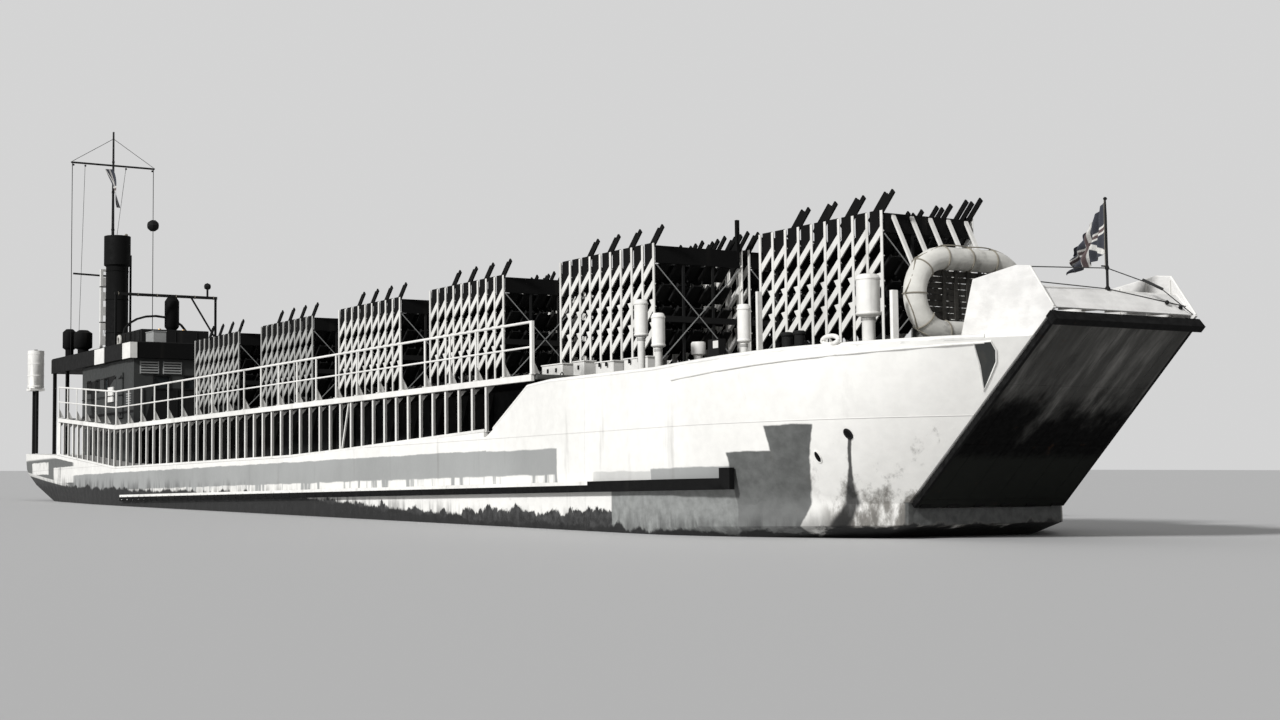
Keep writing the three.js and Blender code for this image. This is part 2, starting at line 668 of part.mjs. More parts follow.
function deckhouse() {
  const { aft, fore, half, wall, top } = HOUSE;
  const foot = along(LOWER_DECK, fore) - 100;
  const walls = ringWall([aft, fore], half, wall, [foot, top]);
  const roof = block([aft, fore], [-half, half], [top - wall, top]);
  const doorways = block([DOOR.x - DOOR.width / 2, DOOR.x + DOOR.width / 2], [-half - 10, half + 10],
    [DOOR.foot, DOOR.top]);
  const lights = [5400, 6500, 7600].map((x) => block([x - 190, x + 190], [-half - 10, half + 10],
    [6250, 6650]));
  const frontLights = [-1900, -700, 700, 1900].map((y) => block([fore - wall - 10, fore + 10],
    [y - 300, y + 300], [6150, 6600]));
  return cut(walls.add(roof), [belowLine(LOWER_DECK, 0, 14000, half + 50), doorways, ...lights,
    ...frontLights]);
}

addPiece('deckhouse', deckhouse(), 'grey');

// Side doors, hinged at their forward edge and opening outwards.
function houseDoor(side) {
  const face = HOUSE.half + 12;
  const panel = block([DOOR.x - DOOR.width / 2 - 40, DOOR.x + DOOR.width / 2 + 40],
    [face, face + DOOR.thickness], [DOOR.foot - 10, DOOR.top + 40]);
  const handle = block([DOOR.x - 300, DOOR.x - 260], [face + DOOR.thickness - 5, face + 110], [5800, 5980]);
  return mirroredTo(side, panel.add(handle));
}

for (const [side, name] of SIDES) addPiece(`house_door_${name}`, houseDoor(side), 'grey');

// Bridge deck over the house and the open quarterdeck, on posts at the stern.
function bridgeDeck() {
  const { aft, fore, half, plate } = BRIDGE_DECK;
  const under = HOUSE.top + GAP;
  const slab = block([aft, fore], [-half, half], [under, under + plate]);
  const coaming = ringWall([aft, fore], half, 60, [under + plate - 10, under + plate + 480]);
  const gangway = block([fore - 200, fore + 10], [-500, 500], [under + plate, under + 900]);
  const posts = [aft + 120, 2700].flatMap((x) => SIDES.map(([side]) => bar(
    [x, side * (half - 120), under + 10], [x, side * (half - 120), along(LOWER_DECK, x - 70) + GAP], 130)));
  return join([slab, coaming, ...posts]).subtract(gangway);
}

addPiece('bridge_deck', bridgeDeck(), 'grey');

function bridge() {
  const { aft, fore, half, wall, height } = BRIDGE;
  const foot = ROOF_TOP + GAP;
  const floor = block([aft, fore], [-half, half], [foot, foot + 60]);
  const walls = ringWall([aft, fore], half, wall, [foot, foot + height]);
  const entry = block([aft - 10, aft + wall + 10], [-400, 400], [foot + 60, foot + height + 10]);
  const arch = endPlate(archOutline(half, foot + height - 20, 870, 90), aft + 560, aft + 640);
  return join([floor, walls, arch]).subtract(entry);
}

// Bow-shaped band: an arc over a span, as thick as its band.
function archOutline(half, foot, rise, band) {
  const steps = 10;
  const arc = (grow) => Array.from({ length: steps + 1 }, (_, i) => {
    const angle = Math.PI * i / steps;
    return [Math.cos(angle) * (half + grow), foot + Math.sin(angle) * (rise + grow)];
  });
  return [...arc(0), ...arc(-band).reverse()];
}

addPiece('bridge', bridge(), 'dark');

// Awning frame over the bridge: an athwartships spar on two posts, braced at its port end, where its lamp is.
function awningFrame() {
  const x = 5900;
  const spar = 10250;
  const reach = 2100;
  const foot = ROOF_TOP + GAP;
  const lamp = reach - 350;
  return join([
    bar([x, -reach - 60, spar], [x, reach + 60, spar], 110),
    ...SIDES.map(([side]) => bar([x, side * reach, foot], [x, side * reach, spar], 80)),
    bar([x, reach - 20, 8600], [x, reach - 1050, spar - 20], 60),
    rod([x, lamp, spar], [x, lamp, spar + 420], 45),
    ball([x, lamp, spar + 470], 150, 8),
  ]);
}

addPiece('awning_frame', awningFrame(), 'dark');

function funnel() {
  const x = 3000;
  const y = -1120;
  const foot = ROOF_TOP + GAP;
  const cap = [11750, 12980];
  const outer = turned([[0, foot], [600, foot], [600, foot + 120], [460, foot + 160], [460, cap[0] - 60],
    [545, cap[0]], [545, cap[1]], [0, cap[1]]], 16, [x, y, 0]);
  return outer.subtract(rod([x, y, cap[1] - 500], [x, y, cap[1] + 10], 470, 16));
}

addPiece('funnel', funnel(), 'black');

// Mast with its yard, the topmast, and the taut signal halyards with the ball on the port one.
function mast() {
  const [x, y] = [2000, -1000];
  const foot = ROOF_TOP + GAP;
  const yard = 16150;
  const reach = 1750;
  const pole = rod([x, y, foot], [x, y, 17600], 95, 10, 40);
  const halyardFeet = SIDES.map(([side]) => [x, y + side * reach, yard]);
  return join([
    pole,
    bar([x, y - reach - 50, yard], [x, y + reach + 50, yard], 70),
    ...halyardFeet.map(([hx, hy, hz]) => rod([hx, hy, hz], [hx, hy, foot], 16, 6)),
    ball([x, y + reach, 13690], 260, 10),
    bar([x, y, 11400], [x, y - 1670, 11440], 70),
  ]);
}

addPiece('mast', mast(), 'steel');

function perforatedPost() {
  const foot = ROOF_TOP + GAP;
  const top = 11650;
  const half = 190;
  const [x, y] = [2300, -1430];
  const windows = [];
  for (let z = 8200; z < top - 300; z += 620) {
    windows.push(block([x - 100, x + 100], [y - 75, y + 75], [z, z + 260]));
  }
  return cut(block([x - 60, x + 60], [y - half, y + half], [foot, top]), windows);
}

addPiece('perforated_post', perforatedPost(), 'white');

// Drums on the bridge deck, and one on the bridge's own floor: x, y, seat over the deck, radius, height.
const ROOF_DRUMS = [
  { name: 'cowl_aft', x: 1500, y: -2650, seat: 0, radius: 290, height: 1750, paint: 'black' },
  { name: 'cowl_fore', x: 2900, y: -2500, seat: 0, radius: 380, height: 1600, paint: 'black' },
  { name: 'binnacle_drum', x: 5400, y: 410, seat: 60 + GAP, radius: 300, height: 2870, paint: 'black' },
];

for (const { name, x, y, seat, radius, height, paint } of ROOF_DRUMS) {
  const foot = ROOF_TOP + GAP + seat;
  const stem = radius * 0.6;
  addPiece(name, turned([[0, foot], [stem, foot], [stem, foot + height * 0.5], [radius, foot + height * 0.55],
    [radius, foot + height * 0.92], [radius * 0.5, foot + height], [0, foot + height]], 12, [x, y, 0]),
  paint);
}

// White drums on posts at the two quarters
function quarterDrum(side) {
  const [x, y] = [450, side * 3750];
  const seat = 6650;
  const foot = along(LOWER_DECK, x - 300) + GAP;
  return join([
    turned([[0, seat], [335, seat], [335, seat + 1600], [0, seat + 1600]], 16, [x, y, 0]),
    block([x - 300, x + 300], [y - 300, y + 300], [seat - 90, seat + 20]),
    ...[-230, 230].map((dx) => bar([x + dx, y, seat - 50], [x + dx, y, foot], 110)),
  ]);
}

for (const [side, name] of SIDES) addPiece(`quarter_drum_${name}`, quarterDrum(side), 'white');

// Stern anchor gear
const WINCH = { x: 2300, z: 4700, half: 700, drum: 330, flange: 520 };

function winchFrame() {
  const foot = along(LOWER_DECK, WINCH.x - 700) + GAP;
  const cheekPoints = [[WINCH.x - 650, foot], [WINCH.x + 650, foot], [WINCH.x + 160, WINCH.z + 180],
    [WINCH.x - 160, WINCH.z + 180]];
  const outer = WINCH.half + 130;
  const cheeks = [[-outer, -outer + 90], [outer - 90, outer]]
    .map(([y0, y1]) => sidePlate(cheekPoints, y0, y1));
  const sills = [-600, 520].map((dx) => block([WINCH.x + dx, WINCH.x + dx + 80], [-outer, outer],
    [foot, foot + 70]));
  const bearing = rod([WINCH.x, -outer - 20, WINCH.z], [WINCH.x, outer + 20, WINCH.z], 90, 12);
  return cut(join([...cheeks, ...sills]), [bearing]);
}

function winchDrum() {
  const { x, z, half, drum, flange } = WINCH;
  return join([
    rod([x, -half, z], [x, half, z], drum, 16),
    rod([x, -half, z], [x, -half + 60, z], flange, 16),
    rod([x, half - 60, z], [x, half, z], flange, 16),
    rod([x, -half - 250, z], [x, half + 250, z], 78, 12),
  ]);
}

addPiece('winch_frame', winchFrame(), 'grey');
addPiece('winch_drum', winchDrum(), 'steel');

// Stern anchor: shank, stock and arms, stowed upright against the transom's bracket.
function sternAnchor() {
  const x = -330;
  return join([
    bar([x, 0, 2550], [x, 0, 4300], 130),
    bar([x, -650, 4150], [x, 650, 4150], 90),
    bar([x, -620, 2950], [x, 10, 2560], 150, 120),
    bar([x, 620, 2950], [x, -10, 2560], 150, 120),
    bar([x, 0, 3620], [-GAP * 2, 0, 3620], 160),
  ]);
}

addPiece('stern_anchor', sternAnchor(), 'black');

// Running gear: shafts with their propellers, and the rudders on their stocks.
function propeller(side) {
  const { x, y, z, radius, hub, length, shaftEnd } = PROPELLER;
  const blades = [0, 1, 2].map((i) => {
    const blade = new THREE.BoxGeometry(60, 330, radius - 30);
    blade.translate(0, 0, (radius - 30) / 2 + 20);
    blade.rotateZ(side * 0.6).rotateX(i * Math.PI * 2 / 3);
    return solid(blade.translate(x, side * y, z));
  });
  return join([
    rod([x - length / 2, side * y, z], [x + length / 2, side * y, z], hub, 12),
    rod([x, side * y, z], [shaftEnd, side * y, z], SHAFT_RADIUS, 10),
    ...blades,
  ]);
}

function shaftBracket(side) {
  const x = PROPELLER.x + 900;
  const { y, z } = PROPELLER;
  const boss = rod([x - 160, side * y, z], [x + 160, side * y, z], 150, 12);
  const legs = [-500, 500].map((dy) => bar([x, side * y, z], [x, side * (y + dy), 1290], 70, 160));
  const bore = rod([x - 200, side * y, z], [x + 200, side * y, z], SHAFT_RADIUS + 14, 10);
  return join([boss, ...legs]).subtract(bore);
}

function rudder(side) {
  const { x, y, foot, top, chord, balance, thickness, stock, stockTop } = RUDDER;
  const blade = planPlate([[x + balance, 0], [x + balance - 140, thickness / 2],
    [x - 200, thickness / 2], [x - chord + balance, 0], [x - 200, -thickness / 2],
    [x + balance - 140, -thickness / 2]].map(([px, py]) => [px, side * y + py]), foot, top);
  return blade.add(rod([x, side * y, foot + 200], [x, side * y, stockTop], stock, 10));
}

for (const [side, name] of SIDES) {
  addPiece(`propeller_${name}`, propeller(side), 'bronze');
  addPiece(`shaft_bracket_${name}`, shaftBracket(side), 'black');
  addPiece(`rudder_${name}`, rudder(side), 'black');
}

// Half scale, with the origin under the middle of the craft's length.
craft.scale.setScalar(MODEL_SCALE);
const extent = new THREE.Box3().setFromObject(craft);
craft.position.x = -(extent.min.x + extent.max.x) / 2;
export default craft;
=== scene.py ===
# Looks of the half-scale landing craft. Pieces are drawn in the full-size craft's metres, X forward from
# the stern, Y to port and Z up from the flat bottom, and come to the model's scale and place when finished.
import math

import bmesh
import bpy
from mathutils import Matrix, Vector
from mathutils.bvhtree import BVHTree


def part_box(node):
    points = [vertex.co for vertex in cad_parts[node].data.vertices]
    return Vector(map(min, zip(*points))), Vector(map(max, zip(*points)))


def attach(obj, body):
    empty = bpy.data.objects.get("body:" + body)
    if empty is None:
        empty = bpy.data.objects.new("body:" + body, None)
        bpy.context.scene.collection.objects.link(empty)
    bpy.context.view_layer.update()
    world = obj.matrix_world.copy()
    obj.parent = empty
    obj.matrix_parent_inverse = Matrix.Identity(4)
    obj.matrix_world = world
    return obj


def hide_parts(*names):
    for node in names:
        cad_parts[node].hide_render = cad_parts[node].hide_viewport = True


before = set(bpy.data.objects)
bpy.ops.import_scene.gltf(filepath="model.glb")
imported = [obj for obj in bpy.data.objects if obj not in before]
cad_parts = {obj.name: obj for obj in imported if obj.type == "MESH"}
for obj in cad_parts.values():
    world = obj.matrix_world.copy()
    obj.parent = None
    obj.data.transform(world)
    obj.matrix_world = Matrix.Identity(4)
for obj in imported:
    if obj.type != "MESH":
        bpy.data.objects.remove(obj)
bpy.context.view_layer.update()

# Driving sizes, in full-size metres
SCALE = 0.5
STERN_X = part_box("hull")[0].x
TO_MODEL = Matrix.Translation((STERN_X, 0, 0)) @ Matrix.Diagonal((SCALE, SCALE, SCALE, 1))
TO_FULL = TO_MODEL.inverted()
UP = Vector((0, 0, 1))
FORWARD = Vector((1, 0, 0))
TO_PORT = Vector((0, 1, 0))
SIDES = (("starboard", -1), ("port", 1))

WATERLINE = 1.99
TRIM = 0.0215

WIDEST = 4.72
# Half-breadths and deck heights along the craft, as (x, value) pairs
HALF_BEAM = ((0, 4.0), (0.9, 4.16), (4, 4.36), (9, 4.55), (14, WIDEST), (60, WIDEST))
LOWER_DECK = ((0, 3.92), (6, 3.7), (14, 3.01), (30, 3.01), (33.4, 3.08), (41.9, 3.32), (60, 3.4))
UPPER_DECK = ((4.8, 5.26), (14, 4.57), (60, 4.57))
SHEER = ((42, 3.2), (42.3, 3.34), (44, 4.28), (45, 4.345), (49.3, 4.345), (53, 4.48), (56.9, 4.53))
SIDE_KNUCKLES = (9, 14, 30, 33.4)
GALLERY_AFT, GALLERY_END, GALLERY_FORE = 6.0, 41.9, 44.2

FAIRLEAD = 54.25
STRAKE_WHITE_FOOT = 1.985
STRAKE_WHITE_END = 46.9

# Racks, each with its letter and the place of its fore end
RACK_LENGTH = 4.185
RACK_WIDTH = 2.5
RACK_FOOT = 4.574
RACK_TOP = 7.49
RACK_COLUMN = 0.465
RACK_TIER = 0.52
RACK_RISE = 0.42
RACK_POST = 0.08
RACKS = (("a", 52.66), ("b", 46.2), ("c", 39.1), ("d", 33.0), ("e", 26.8), ("f", 20.6))

# Bow: the shoulder's drop is its loss of breadth by share of its length
RAMP_FOOT = Vector((54.2, 0, 1.52))
RAMP_HINGE = Vector((54.3196, 0, 1.5066))
RAMP_RISE = math.radians(42)
BOW_TOP = 4.7
SHOULDER_DROP = ((0, 0), (0.16, 0.02), (0.3, 0.085), (0.43, 0.17), (0.55, 0.27), (0.68, 0.425), (0.8, 0.6),
                 (0.9, 0.79), (1, 1))

# After works and running gear
HOUSE_SIDE = 3.0
HOUSE_TOP = 7.38
DOOR_SKIN = 3.062
BRIDGE_SIDE = 1.41
BRIDGE_FOOT, BRIDGE_TOP = 7.40, 8.70
SPAR_X, SPAR_Z = 5.9, 10.25
MAST_X, MAST_Y = 2.0, -1.0
MAST_FOOT, MAST_LENGTH, YARD = 7.378, 10.2, 16.05
FUNNEL_X, FUNNEL_Y = 3.0, -1.12
FUNNEL_BAND = 0.468
QUARTER_DRUM_X, QUARTER_DRUM_Y = 0.45, 3.75
SHAFT_Y, SHAFT_Z = 2.15, 0.9

# The photo's camera: its eye, its level heading, and its lens and tilt in the photo's pixels
EYE = (83.2, -27.0, 1.621)
HEADING = (-0.8396, 0.5432, 0)
PHOTO_WIDTH = 1280
FOCAL_LENGTH = 1950
TILT = 106

# Cut sizes of the flags, in model metres
PENNANT_FLAT = (0.86, 0.17)


def along(line, x):
    """Value at x of a line given as (x, value) pairs."""
    for (x0, v0), (x1, v1) in zip(line, line[1:]):
        if x <= x1:
            break
    share = min(max((x - x0) / (x1 - x0), 0), 1)
    return v0 + (v1 - v0) * share


def stations(x0, x1, pitch):
    """Even places from x0 to x1, about a pitch apart."""
    count = max(1, round((x1 - x0) / pitch))
    return [x0 + (x1 - x0) * i / count for i in range(count + 1)]


def round_pairs(points):
    """Each point with the one after it, all the way round."""
    return zip(points, points[1:] + points[:1])


def full_box(node):
    """Lowest and highest corner of a CAD node, in full-size metres."""
    low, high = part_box(node)
    return TO_FULL @ low, TO_FULL @ high


def band(side, inner, outer):
    """Range across the craft between two half-breadths of one side."""
    return sorted((side * inner, side * outer))


# Finishes


class Finish:
    """A material under construction: its shader, and short ways to add and join nodes."""

    def __init__(self, name, roughness=0.6, metallic=0.0, gloss=0.4):
        self.material = bpy.data.materials.new(name)
        self.material.use_nodes = True
        self.tree = self.material.node_tree
        self.shader = self.tree.nodes["Principled BSDF"]
        self.shader.inputs["Roughness"].default_value = roughness
        self.shader.inputs["Metallic"].default_value = metallic
        self.shader.inputs["Specular IOR Level"].default_value = gloss
        mapping = self.node("ShaderNodeMapping")
        mapping.inputs["Location"].default_value = (-STERN_X / SCALE, 0, 0)
        mapping.inputs["Scale"].default_value = (1 / SCALE,) * 3
        self.join(self.node("ShaderNodeTexCoord").outputs["Object"], mapping.inputs["Vector"])
        self.place = mapping.outputs["Vector"]
        split = self.node("ShaderNodeSeparateXYZ")
        self.join(self.place, split.inputs[0])
        self.x, self.y, self.z = split.outputs

    def node(self, kind, **settings):
        made = self.tree.nodes.new(kind)
        for key, value in settings.items():
            setattr(made, key, value)
        return made

    def join(self, source, target):
        self.tree.links.new(source, target)

    def feed(self, target, value):
        if isinstance(value, bpy.types.NodeSocket):
            self.join(value, target)
        else:
            target.default_value = value

    def math(self, operation, a, b=0.0, clamp=False):
        made = self.node("ShaderNodeMath", operation=operation, use_clamp=clamp)
        for target, value in zip(made.inputs, (a, b)):
            self.feed(target, value)
        return made.outputs[0]

    def plus(self, a, b, clamp=False):
        return self.math("ADD", a, b, clamp)

    def minus(self, a, b, clamp=False):
        return self.math("SUBTRACT", a, b, clamp)

    def times(self, a, b):
        return self.math("MULTIPLY", a, b)

    def size(self, value):
        """The value without its sign."""
        return self.math("ABSOLUTE", value)

    def fade(self, value, low, high, floor=0.0, ceiling=1.0):
        """Smooth step from floor to ceiling as the value goes from low to high."""
        made = self.node("ShaderNodeMapRange", interpolation_type="SMOOTHSTEP")
        for target, number in zip(made.inputs, (value, low, high, floor, ceiling)):
            self.feed(target, number)
        return made.outputs[0]

    def noise(self, scale, detail=4.0, rough=0.55, stretch=(1, 1, 1), shift=0.0):
        mapping = self.node("ShaderNodeMapping")
        mapping.inputs["Scale"].default_value = stretch
        mapping.inputs["Location"].default_value = (shift, shift * 0.7, shift * 1.3)
        self.join(self.place, mapping.inputs["Vector"])
        made = self.node("ShaderNodeTexNoise")
        self.join(mapping.outputs[0], made.inputs["Vector"])
        made.inputs["Scale"].default_value = scale
        made.inputs["Detail"].default_value = detail
        made.inputs["Roughness"].default_value = rough
        return made.outputs["Fac"]

    def mix(self, share, first, second):
        made = self.node("ShaderNodeMix", data_type="RGBA")
        self.feed(made.inputs["Factor"], share)
        self.feed(made.inputs["A"], first if isinstance(first, bpy.types.NodeSocket) else (*first, 1))
        self.feed(made.inputs["B"], second if isinstance(second, bpy.types.NodeSocket) else (*second, 1))
        return made.outputs["Result"]

    def scaled(self, colour, share):
        """A colour made darker or lighter by a share."""
        made = self.node("ShaderNodeVectorMath", operation="SCALE")
        self.feed(made.inputs[0], colour)
        self.feed(made.inputs["Scale"], share)
        return made.outputs[0]

    def within(self, value, low, high, soft=0.02):
        """1 where the value is between low and high."""
        return self.times(self.fade(value, low - soft, low + soft), self.below(value, high, soft))

    def below(self, value, level, soft=0.02):
        """1 where the value is under a level."""
        return self.fade(value, level - soft, level + soft, 1.0, 0.0)

    def both(self, *masks):
        result = masks[0]
        for mask in masks[1:]:
            result = self.times(result, mask)
        return result

    def either(self, *masks):
        result = masks[0]
        for mask in masks[1:]:
            result = self.math("MAXIMUM", result, mask)
        return result

    def bump(self, height, strength=0.4, distance=0.01):
        made = self.node("ShaderNodeBump")
        made.inputs["Strength"].default_value = strength
        made.inputs["Distance"].default_value = distance
        self.join(height, made.inputs["Height"])
        self.join(made.outputs[0], self.shader.inputs["Normal"])

    def done(self, colour, roughness=None):
        self.feed(self.shader.inputs["Base Color"], colour)
        if roughness is not None:
            self.feed(self.shader.inputs["Roughness"], roughness)
        return self.material


WHITE = (0.76, 0.75, 0.72)
LIGHT_GREY = (0.30, 0.305, 0.30)
PATCH_GREY = (0.10, 0.103, 0.10)
HOUSE_GREY = (0.045, 0.047, 0.046)
DARK = (0.013, 0.013, 0.013)
BLACK = (0.005, 0.005, 0.005)
RUST = (0.13, 0.062, 0.03)
GRIME = (0.11, 0.10, 0.085)


def weathered(name, coat, rust=0.5, streaks=0.5, chips=0.5, roughness=0.6, gloss=0.4):
    """Brushed paint over steel: uneven coat, vertical dirt runs, chips down to rusty metal."""
    f = Finish(name, roughness, gloss=gloss)
    broad = f.noise(0.35, 3)
    fine = f.noise(6.0, 6, shift=4)
    tone = f.plus(f.fade(broad, 0.3, 0.7, 0.90, 1.03), f.fade(fine, 0.25, 0.75, -0.05, 0.05))
    colour = f.scaled(coat, tone)
    runs = f.fade(f.noise(2.2, 5, stretch=(1, 1, 0.07), shift=9), 0.56, 0.74, 0.0, streaks)
    colour = f.mix(runs, colour, GRIME)
    rusty = f.fade(f.noise(1.3, 8, 0.7, shift=15), 0.66, 0.74, 0.0, rust)
    rusty = f.times(rusty, f.fade(fine, 0.42, 0.6))
    colour = f.mix(rusty, colour, RUST)
    worn = f.fade(f.noise(9.0, 8, 0.75, shift=21), 0.68, 0.71, 0.0, chips)
    colour = f.mix(worn, colour, RUST)
    f.bump(f.plus(fine, f.times(worn, -1.5)), 0.35, 0.004)
    patchy = f.plus(f.fade(fine, 0.3, 0.7, -0.10, 0.10), roughness)
    return f.done(colour, f.plus(patchy, f.times(worn, 0.15), clamp=True))


def hull_paint():
    """Side paint: white with grey and dark patches stepped along the side, a splash band, black boot."""
    f = Finish("hull_paint", 0.58)
    abs_y = f.size(f.y)
    wobble = f.times(f.minus(f.noise(1.6, 4, shift=2), 0.5), 0.16)
    x = f.plus(f.x, wobble)
    z = f.plus(f.z, f.times(wobble, 0.6))
    above = f.minus(f.z, f.minus(WATERLINE, f.times(f.x, TRIM)))
    ragged = f.noise(1.3, 8, 0.68, stretch=(1, 1, 0.45), shift=30)
    streaky = f.noise(2.6, 6, 0.6, stretch=(1, 1, 0.10), shift=12)
    broad = f.noise(0.3, 3, shift=5)
    fine = f.noise(5.0, 7, 0.6, shift=7)

    def line(x0, z0, x1, z1):
        """Height over a straight line through two places on the side."""
        slope = (z1 - z0) / (x1 - x0)
        return f.minus(f.z, f.plus(f.times(f.x, slope), z0 - slope * x0))

    tone = f.plus(f.fade(broad, 0.3, 0.7, 0.93, 1.02), f.fade(fine, 0.3, 0.7, -0.03, 0.03))
    # Painted light: the white is brightened towards the bow, where the shoulder turns from the sun; the thin
    # grime runs fade there as well
    painted_light_forward = f.fade(f.x, 51.0, 55.5)
    white = f.scaled(WHITE, f.plus(tone, f.times(painted_light_forward, 0.2)))
    light_grey = f.scaled(LIGHT_GREY, f.fade(broad, 0.3, 0.7, 0.88, 1.08))
    patch_grey = f.scaled(PATCH_GREY, f.fade(fine, 0.25, 0.75, 0.8, 1.25))
    colour = white
    # Grey topsides from the quarter to the gallery's end
    grey = f.either(f.both(f.within(x, 7.8, 42.0), f.below(z, 2.87)),
                    f.both(f.within(x, 41.9, 45.35), f.below(z, 2.84)))
    colour = f.mix(grey, colour, light_grey)
    # Greyer stretches just over the strake's forward end
    shade = f.either(f.both(f.within(x, 49.2, 51.6), f.below(z, 2.30)),
                     f.times(f.both(f.within(x, 46.9, 49.2), f.below(z, 2.26)), 0.5))
    colour = f.mix(shade, colour, light_grey)
    # Splash band over the strake, bright and broken
    splash = f.both(f.below(z, 2.25), f.within(f.x, 12.0, 46.9, 0.3), f.fade(streaky, 0.39, 0.49))
    colour = f.mix(f.times(splash, 0.95), colour, WHITE)
    # Under the strake: scoured dark, with ragged white under the strake, and grey forward
    deep = f.plus(f.z, f.times(f.minus(ragged, 0.5), 1.2))
    ragged_white = f.both(f.fade(f.x, 21, 26), f.below(f.x, 47.65, 0.05),
                          f.fade(f.minus(deep, f.fade(f.x, 26, 42, 1.87, 1.45)), -0.03, 0.03))
    scoured = f.mix(ragged_white, f.scaled(DARK, f.fade(fine, 0.3, 0.7, 1.0, 4.5)), white)
    scoured = f.mix(f.within(x, 47.65, 53.5), scoured, f.scaled(patch_grey, 2.2))
    colour = f.mix(f.both(f.below(f.z, 1.86), f.within(f.x, 12.0, 51.7)), colour, scoured)
    # Dark patch on the shoulder, stepped at its aft edge, its fore edge upright as the camera sees it
    fore = f.plus(x, f.times(f.minus(3.07, f.z), 0.42))
    patch = f.either(f.both(f.fade(x, 52.47, 52.51), f.below(z, 3.07)),
                     f.both(f.fade(x, 51.48, 51.52), f.below(z, 2.58)))
    patch = f.both(patch, f.below(fore, 53.5))
    colour = f.mix(patch, colour, f.mix(f.fade(f.z, 1.0, 2.0, 0.4, 0.0), patch_grey, light_grey))
    # Stern: dark counter with pale patches, a pale line along its knuckle, and painted shade under the
    # knuckle
    counter = f.both(f.below(f.x, 8.4, 0.2), f.below(f.z, 3.6, 0.05))
    pale = f.either(f.both(f.within(x, 1.6, 4.6), f.within(z, 2.98, 3.46)),
                    f.both(f.within(x, 5.4, 9.0), f.within(z, 2.60, 3.22)))
    pale = f.times(pale, f.fade(ragged, 0.35, 0.5, 0.35, 0.9))
    colour = f.mix(counter, colour, f.mix(pale, f.scaled(PATCH_GREY, 1.2), WHITE))
    knuckle = line(1.0, 3.03, 9.0, 2.38)
    edge = f.both(f.below(f.size(knuckle), 0.065, 0.015), f.below(f.x, 7.5, 0.5))
    colour = f.mix(f.times(edge, 0.75), colour, WHITE)
    # Painted shade on the side under the knuckle, where the hull falls in
    colour = f.mix(f.times(f.both(f.below(knuckle, -0.08), f.below(f.x, 16, 2)), 0.85), colour, DARK)
    # White gunwale under the gallery
    deck = f.math("MINIMUM", line(6.0, 3.7, 14.0, 3.01), f.minus(f.z, 3.01))
    gunwale = f.both(f.fade(f.plus(deck, f.times(wobble, 0.3)), -0.14, -0.12), f.below(f.x, 42.05))
    colour = f.mix(gunwale, colour, white)
    # Boot topping, grime creeping up from it in runs
    height = f.plus(f.fade(f.x, 26, 43, 0.62, 0.12), f.fade(f.x, 52.5, 53.8, 0.0, 0.14))
    tide = f.minus(above, f.plus(height, f.times(f.minus(ragged, 0.5), 0.7)))
    grimy = f.minus(ragged, f.times(above, 0.16))
    creep = f.both(f.fade(grimy, 0.30, 0.44, 0.0, 0.85), f.fade(f.x, 52.9, 53.3))
    colour = f.mix(creep, colour, GRIME)
    colour = f.mix(f.times(f.fade(tide, 0.0, 0.45, 0.55, 0.0), f.fade(streaky, 0.45, 0.6)), colour, DARK)
    # Dark run down from the hawse hole, and thin runs of grime over the whole side
    off = f.minus(f.plus(f.x, f.times(wobble, 0.6)), f.minus(54.06, f.times(f.minus(2.82, f.z), 0.46)))
    width = f.fade(f.z, 1.1, 2.3, 0.20, 0.045)
    run = f.minus(1.0, f.math("DIVIDE", f.size(off), width), clamp=True)
    run = f.both(run, f.below(f.z, 2.80), f.fade(streaky, 0.35, 0.55, 0.6, 1.0))
    colour = f.mix(f.fade(run, 0.05, 0.55, 0.0, 0.92), colour, DARK)
    runs = f.times(f.fade(streaky, 0.60, 0.78, 0.0, 0.26), f.fade(painted_light_forward, 0, 1, 1.0, 0.3))
    colour = f.mix(runs, colour, GRIME)
    colour = f.mix(f.below(tide, 0.0, 0.04), colour, f.scaled(BLACK, f.fade(fine, 0.2, 0.8, 0.8, 4.0)))
    # Strip under the ramp: dark working paint. Everything inboard of the side plating: dark paint, made near
    # black as painted shade under the raised deck
    strip = f.both(f.fade(f.x, 54.14, 54.17), f.below(f.z, 1.54), f.fade(tide, -0.04, 0.04))
    colour = f.mix(strip, colour, f.scaled(PATCH_GREY, f.fade(fine, 0.3, 0.7, 0.5, 1.1)))
    waist = f.both(f.below(abs_y, 3.22), f.within(f.x, 14.15, 52.05, 0.05))
    afterbody = f.both(f.below(abs_y, 4.1, 0.05), f.fade(deck, 0.0, 0.03), f.below(f.x, 14.3))
    side_deck_painted_shade = f.both(f.below(abs_y, 4.6, 0.03), f.fade(deck, -0.01, 0.01), f.within(f.x, 5.9, 49.6))
    inboard = f.either(waist, afterbody, side_deck_painted_shade)
    colour = f.mix(inboard, colour, f.scaled(DARK, f.fade(fine, 0.3, 0.7, 0.8, 2.0)))
    rusty = f.both(f.fade(f.noise(0.9, 9, 0.72, shift=40), 0.66, 0.72), f.fade(fine, 0.4, 0.6, 0.0, 0.4))
    colour = f.mix(rusty, colour, RUST)
    # Plating that shows its frames, and the welded seams of its strakes
    frames = f.math("SINE", f.times(f.x, 2 * math.pi / 0.61))
    dents = f.noise(0.8, 2, stretch=(1, 1, 0.6), shift=50)
    level = f.below(f.size(f.minus(f.z, 3.15)), 0.008, 0.006)
    butts = f.size(f.minus(f.math("FRACT", f.math("DIVIDE", f.x, 4.9)), 0.5))
    seam = f.either(level, f.both(f.fade(butts, 0.0, 0.0022, 1.0, 0.0), f.below(f.x, 50.0)))
    colour = f.mix(f.times(seam, 0.18), colour, GRIME)
    relief = f.plus(f.times(frames, 0.25), f.times(dents, 1.6))
    relief = f.plus(relief, f.plus(f.times(seam, 0.6), f.times(fine, 0.25)))
    f.bump(relief, 0.5, 0.012)
    return f.done(colour, f.fade(fine, 0.3, 0.7, 0.50, 0.68))


